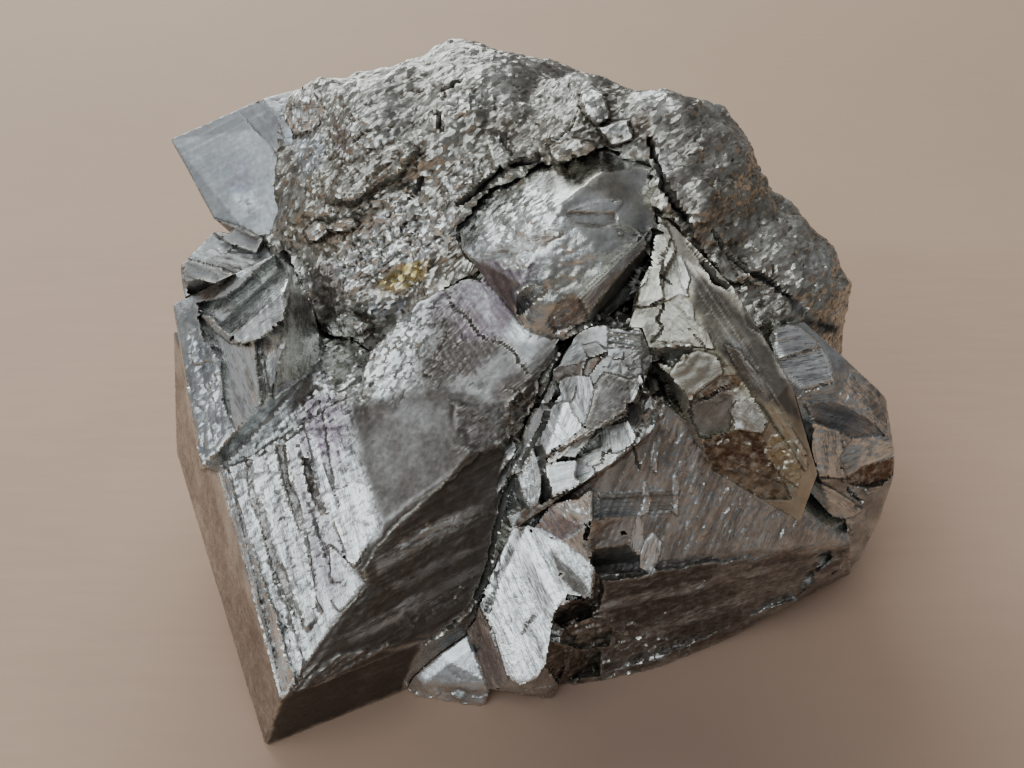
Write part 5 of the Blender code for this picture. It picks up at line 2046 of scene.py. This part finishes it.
# Facet masks paint tone: pale paints highlight on grains and ledges that catch the lights, dark paints
# shade in a pit, matte a little shade; blue is stain.
MATRIX_FACETS = (
    Facet((307, 232, 318, 224, 326, 225, 327, 232, 317, 241, 309, 239), 0.8, (0, 8), PALE_AND_HIGHLIGHT, 1.0),
    Facet((330, 226, 340, 221, 352, 218, 357, 224, 345, 231, 333, 232), 0.7, (0, 8), PALE_AND_HIGHLIGHT, 1.0),
    Facet((398, 201, 403, 205, 402, 216, 398, 233, 388, 242, 384, 234, 392, 215), 0.6, (-4, 8), PALE_AND_HIGHLIGHT, 1.0),
    Facet((358, 200, 364, 199, 364, 206, 359, 207), 0.5, (0, 6), PALE_AND_HIGHLIGHT, 0.9),
    Facet((372, 201, 381, 200, 380, 206, 373, 207), 0.5, (0, 6), PALE_AND_HIGHLIGHT, 0.9),
    Facet((487, 140, 500, 134, 512, 148, 509, 166, 496, 168), 0.5, (0, 2), PALE_AND_HIGHLIGHT, 0.2),
    Facet(SILVER_LEDGE, 0.5, (2, 2), PALE_AND_HIGHLIGHT, 0.5, 3.0, 0.8),
    Facet((283, 118, 286, 104, 300, 98, 316, 100, 324, 112, 318, 126, 300, 133, 288, 130), 0.6, (0, 4),
        PALE_AND_HIGHLIGHT, 0.9, 0.0, 0.6),
    Facet((578, 92, 590, 86, 604, 92, 610, 118, 596, 126, 584, 112), 0.4, (4, 4), PALE_AND_HIGHLIGHT, 0.6, 2.0, 0.6),
    Facet((712, 245, 735, 250, 742, 266, 735, 282, 722, 276), 0.5, (0, 0), PALE_AND_HIGHLIGHT, 0.05),
    Facet((600, 128, 625, 120, 632, 138, 612, 144), 0.3, (0, -2), BLUE, 0.3),
    Facet((550, 150, 575, 140, 596, 146, 590, 160, 560, 166), 0.2, (0, 2), PALE_AND_HIGHLIGHT, 0.15),
    Facet((342, 170, 400, 140, 416, 150, 398, 176, 350, 205, 330, 200), 0.0, (0, 2), MATTE_AND_SHADE, 0.2, 8.0),
    Facet((325, 322, 352, 312, 374, 328, 350, 338, 330, 336), 0.4, (0, 4), PALE_AND_HIGHLIGHT, 0.7, 3.0, 0.9),
    Facet((362, 346, 372, 338, 379, 342, 372, 350), -1.0, (0, 0), DARK_SHADE, 0.8),
)

MATRIX_CHIPS = (
    Chips(SILVER_PATCH, 0.9, 0.45, 150, 8.0, 0.3, (1.0, -1.2), 2.2),
    Chips((320, 110, 360, 100, 440, 150, 420, 200, 340, 220, 310, 200), 1, 0.26, 151, 14.0, 0.3,
        (1.0, -0.8), 2.4),
    Chips((420, 250, 470, 250, 450, 290, 420, 300, 390, 300), 0.9, 0.3, 152, 10.0, 0.3, (1.0, -1.0), 2.2),
    Chips(SILVER_LEDGE, 0.9, 0.3, 153, 4.0),
    Chips((440, 90, 480, 85, 485, 110, 450, 120), 1.1, 0.38, 154, 8.0),
)

# Washes: pale paints highlight on the silver patch and bright grains; dark paints shade in crevices; rust
# is brown stain with some painted shade; blue, purple and yellow are stains.
MATRIX_WASHES = (
    Wash(PALE_AND_HIGHLIGHT, SILVER_PATCH, 1.0, 10.0, 0.1),
    Wash(PALE_AND_HIGHLIGHT, SILVER_PATCH, 0.6, 10.0, 0.2),
    Wash(PALE_AND_HIGHLIGHT, (443, 96, 478, 88, 482, 106, 450, 118), 0.7, 8.0, 0.9),
    Wash(PALE_AND_HIGHLIGHT, (340, 190, 360, 172, 372, 170, 350, 196), 0.6, 6.0, 0.8),
    Wash(BLUE, (398, 252, 424, 250, 425, 262, 404, 268), 0.9, 6.0, 0.3),
    Wash(BLUE, (370, 300, 405, 298, 402, 318, 375, 318), 0.6, 8.0, 0.4),
    Wash(BLUE, (292, 140, 325, 132, 326, 164, 300, 176), 0.8, 8.0, 0.5),
    Wash(PALE_AND_HIGHLIGHT, (294, 148, 318, 132, 322, 160, 298, 172), 0.5, 8.0, 0.9),
    Wash(YELLOW, (378, 274, 400, 264, 428, 258, 428, 274, 400, 292, 380, 294), 0.95, 6.0, 0.4),
    Wash(PURPLE, (336, 125, 355, 128, 355, 150, 335, 150), 0.6, 8.0, 0.5),
    Wash(RUST_AND_SHADE, (340, 140, 352, 128, 358, 136, 346, 156), 0.6, 6.0, 0.5),
    Wash(RUST_AND_SHADE, (628, 100, 652, 105, 655, 160, 640, 150), 0.8, 8.0, 0.5),
    Wash(RUST_AND_SHADE, (690, 195, 730, 195, 735, 225, 700, 225), 0.6, 10.0, 0.7),
    Wash(RUST_AND_SHADE, (306, 264, 346, 264, 348, 296, 330, 312, 314, 296), 1.0, 6.0, 0.25),
    Wash(DARK_SHADE, (310, 268, 340, 268, 344, 292, 330, 308, 314, 292), 0.4, 6.0, 0.5),
    Wash(RUST_AND_SHADE, (470, 108, 560, 120, 550, 150, 500, 140), 0.45, 14.0, 0.7),
    Wash(RUST_AND_SHADE, (655, 165, 690, 175, 720, 290, 690, 280), 0.45, 10.0, 0.6),
    Wash(DARK_SHADE, (786, 296, 800, 300, 812, 318, 835, 330, 806, 326, 790, 308), 0.9, 5.0, 0.2),
    Wash(DARK_SHADE, (822, 322, 838, 326, 836, 336, 824, 332), 0.9, 4.0, 0.2),
    Wash(PALE_AND_HIGHLIGHT, (794, 306, 806, 300, 806, 308, 797, 312), 1.0, 2.0, 0.1),
    Wash(GRAIN, SILVER_PATCH, 0.9, 8.0, 0.3),
)


@dataclass(frozen=True)
class Mottle:
    """An uneven stain over the whole lump: its noise shows from low on and is full at high."""

    tint: Stain
    strength: float
    low: float
    high: float
    width_mm: float
    seed: int


@dataclass
class Matrix(Piece):
    """The lump of small grains that holds the crystals.

    It is broken into blocks of three sizes, raised or sunk at its crests, each given as its middle,
    its radius and its height in mm, and covered with grains.
    """

    node: str = "matrix"
    slot: str = "granular_matrix"
    finish: PyriteFinish = PyriteFinish(
        "granular_pyrite", light=(0.54, 0.535, 0.485), deep=(0.25, 0.24, 0.205), roughness=0.28,
        grains_per_mm=1.7, lean=0.95, pitting=0.06, hollow_darkening=1.1,
    )
    voxel_mm: float = 0.85
    facets: tuple[Facet, ...] = MATRIX_FACETS
    chips: tuple[Chips, ...] = MATRIX_CHIPS
    washes: tuple[Wash, ...] = MATRIX_WASHES
    leans_on: tuple[str, ...] = (
        "left_crystal", "right_crystal", "ridge_crystal", "right_corner_crystal", "back_left_crystal",
    )
    relaxing: int = 6
    lump_sizes_mm: Triple = (9.0, 4.2, 2.0)
    lump_heights_mm: Triple = (0.8, 0.5, 0.25)
    crests: tuple[tuple[Triple, float, float], ...] = (
        ((-31.5, 23.0, 64.0), 7.0, 3.4),
        ((-22.5, 22.0, 71.0), 7.0, -2.4),
    )
    grains: tuple[Chips, ...] = (
        Chips((), 1.5, 0.16, 140, groove=0.1, blocky=0.6),
        Chips((), 0.85, 0.1, 141, groove=0.1, blocky=0.6),
    )
    graininess: float = 0.75
    mottles: tuple[Mottle, ...] = (
        Mottle(RUST_AND_SHADE, 0.35, 0.1, 0.9, 16.0, 141),
        Mottle(MATTE_AND_SHADE, 0.35, 0.0, 0.8, 11.0, 145),
        Mottle(PALE_AND_HIGHLIGHT, 0.3, 0.2, 0.9, 9.0, 143),
    )

    def ground(self, skin: Skin) -> None:
        """Breaks the whole lump into blocks of several sizes, and works its crests.

        Args:
            skin: the lump's skin.
        """
        for number, (size, height) in enumerate(zip(self.lump_sizes_mm, self.lump_heights_mm)):
            skin.height += height * facet_noise(skin.rest, size, 130 + number)
        for middle, radius, height in self.crests:
            away = np.linalg.norm(skin.rest - np.array(middle), axis=1)
            skin.height += height * ease(radius, 0.3 * radius, away)
        skin.shift()
        skin.measure()

    def texture(self, skin: Skin) -> None:
        """Covers the lump with fine grains and an uneven stain.

        Args:
            skin: the lump's skin.
        """
        whole = np.ones(len(skin.rest))
        for grains in self.grains:
            skin.chip_where(whole, skin.rest, grains)
        skin.add_mask(GRAIN, self.graininess * whole)
        for mottle in self.mottles:
            cloud = smooth_noise(skin.rest, mottle.width_mm, mottle.seed, 3)
            skin.add_mask(mottle.tint, mottle.strength * ease(mottle.low, mottle.high, cloud))


# ---------------------------------------------------------------- studio


@dataclass(frozen=True)
class Softbox:
    """One soft light: where it hangs, its size, both in metres, and its power."""

    name: str
    place: Triple
    size: float
    power: float
    colour: Colour = (1.0, 1.0, 1.0)


@dataclass
class Studio:
    """The pale floor with a painted shadow before the specimen, the soft lights, the sky and the camera.
    Its lengths are in metres.
    """

    floor_half: float = 2.0
    floor_colours: tuple[Colour, Colour] = ((0.49, 0.325, 0.23), (0.56, 0.38, 0.265))
    floor_roughness: float = 0.75
    back_colours: tuple[Colour, Colour] = ((0.52, 0.36, 0.24), (0.57, 0.40, 0.275))
    back_foot: float = 0.087
    back_blend: float = 0.004
    board_cloud: Cloud = Cloud(9.0, 4.0, 0.6)
    fibre_cloud: Cloud = Cloud(1.0, 3.0, 0.6)
    fibre_run: Triple = (60.0, 420.0, 60.0)
    fibre_share: float = 0.3
    # The painted shadow on the floor before the specimen: its middle, its colour, and where it starts to
    # fade and where it is gone.
    painted_shadow_middle: Triple = (0.02, -0.055, 0.0)
    painted_shadow_colour: Colour = (0.25, 0.165, 0.12)
    painted_shadow_core: float = 0.01
    painted_shadow_reach: float = 0.10
    target: Triple = (0.0, 0.0, 0.03)
    sky_level: float = 0.23
    sky_slope: Triple = (-0.12, 0.05, 0.19)
    sky_colour: Colour = (0.95, 0.965, 1.0)
    sensor_mm: float = 36.0
    clip: tuple[float, float] = (0.005, 20.0)
    boxes: tuple[Softbox, ...] = (
        Softbox("window", (-0.27, -0.38, 0.55), 0.75, 3.6, (0.88, 0.955, 1.0)),
        Softbox("rear", (-0.32, 0.82, 0.54), 0.85, 8.0, (0.90, 0.96, 1.0)),
    )

    def build(self) -> None:
        """Makes the floor, the lights, the sky and the camera."""
        self.floor()
        for box in self.boxes:
            self.light(box)
        world = bpy.data.worlds.new("studio")
        world.use_nodes = True
        graph = Graph(world.node_tree)
        towards = graph.add("ShaderNodeTexCoord").outputs["Generated"]
        slope = graph.add(
            "ShaderNodeVectorMath", {0: towards, 1: self.sky_slope}, operation="DOT_PRODUCT"
        )
        level = graph.math("ADD", slope.outputs["Value"], self.sky_level)
        sky = world.node_tree.nodes["Background"]
        sky.inputs["Color"].default_value = (*self.sky_colour, 1.0)
        graph.feed(sky.inputs["Strength"], level)
        bpy.context.scene.world = world
        self.camera()
        LOG.info("studio: %d lights", len(self.boxes))

    def floor(self) -> None:
        """Lays the floor: two pale boards that meet behind the specimen, and a painted shadow on the front
        one before it.
        """
        half = self.floor_half
        mesh = bpy.data.meshes.new("floor")
        corners = [(-half, -half, 0), (half, -half, 0), (half, half, 0), (-half, half, 0)]
        mesh.from_pydata(corners, [], [(0, 1, 2, 3)])
        material = bpy.data.materials.new("pale_board")
        material.use_nodes = True
        material.node_tree.nodes.clear()
        graph = Graph(material.node_tree)
        place = graph.add("ShaderNodeTexCoord").outputs["Object"]
        parts = graph.add("ShaderNodeSeparateXYZ", {0: place})
        joint = (self.back_foot - self.back_blend, self.back_foot + self.back_blend)
        behind = graph.remap(parts.outputs[1], *joint)
        cloud = graph.math("MULTIPLY", graph.noise(place, self.board_cloud), 1.0 - self.fibre_share)
        fibre = graph.noise(graph.vector("MULTIPLY", place, self.fibre_run), self.fibre_cloud)
        mottle = graph.math("ADD", cloud, graph.math("MULTIPLY", fibre, self.fibre_share))
        front = graph.mix(graph.remap(mottle, 0.35, 0.65), *self.floor_colours)
        back = graph.mix(graph.remap(mottle, 0.3, 0.7), *self.back_colours)
        # Painted shadow: the front board darkens towards the middle of the patch.
        away = graph.add("ShaderNodeVectorMath", {0: place, 1: self.painted_shadow_middle}, operation="DISTANCE")
        unshadowed = graph.remap(away.outputs["Value"], self.painted_shadow_core, self.painted_shadow_reach)
        colour = graph.mix(behind, graph.mix(unshadowed, self.painted_shadow_colour, front), back)
        shader = graph.add(
            "ShaderNodeBsdfPrincipled", {"Base Color": colour, "Roughness": self.floor_roughness}
        )
        graph.add("ShaderNodeOutputMaterial", {"Surface": shader.outputs[0]})
        mesh.materials.append(material)
        board = bpy.data.objects.new("floor", mesh)
        bpy.context.scene.collection.objects.link(board)

    def light(self, box: Softbox) -> None:
        """Hangs one softbox, turned to the specimen.

        Args:
            box: the softbox.
        """
        lamp = bpy.data.lights.new(box.name, "AREA")
        lamp.size = box.size
        lamp.energy = box.power
        lamp.color = box.colour
        holder = bpy.data.objects.new(box.name, lamp)
        holder.location = box.place
        aim = Vector(self.target) - Vector(box.place)
        holder.rotation_euler = aim.to_track_quat("-Z", "Y").to_euler()
        bpy.context.scene.collection.objects.link(holder)

    def camera(self) -> None:
        """Sets the camera at the show side's eye."""
        view = bpy.data.cameras.new("camera")
        view.sensor_width = self.sensor_mm
        view.lens = self.sensor_mm * SHOW_SIDE.steps_per_unit / (2 * SHOW_SIDE.middle[0])
        view.clip_start, view.clip_end = self.clip
        holder = bpy.data.objects.new("camera", view)
        holder.location = Vector(SHOW_SIDE.eye_mm) * MM
        holder.rotation_euler = (math.radians(90.0 - SHOW_SIDE.pitch_deg), 0.0, 0.0)
        bpy.context.scene.collection.objects.link(holder)
        bpy.context.scene.camera = holder


def main() -> None:
    """Builds the studio and every piece, and reports each one."""
    logging.basicConfig(level=logging.INFO, format="%(name)s: %(message)s")
    Studio().build()
    effects = Effects.build()
    for kind in (CornerCrystal, BrokenCrystal, RidgeCrystal, RightCorner, BackCorner, Matrix):
        kind().build(effects)


if __name__ == "__main__":
    main()
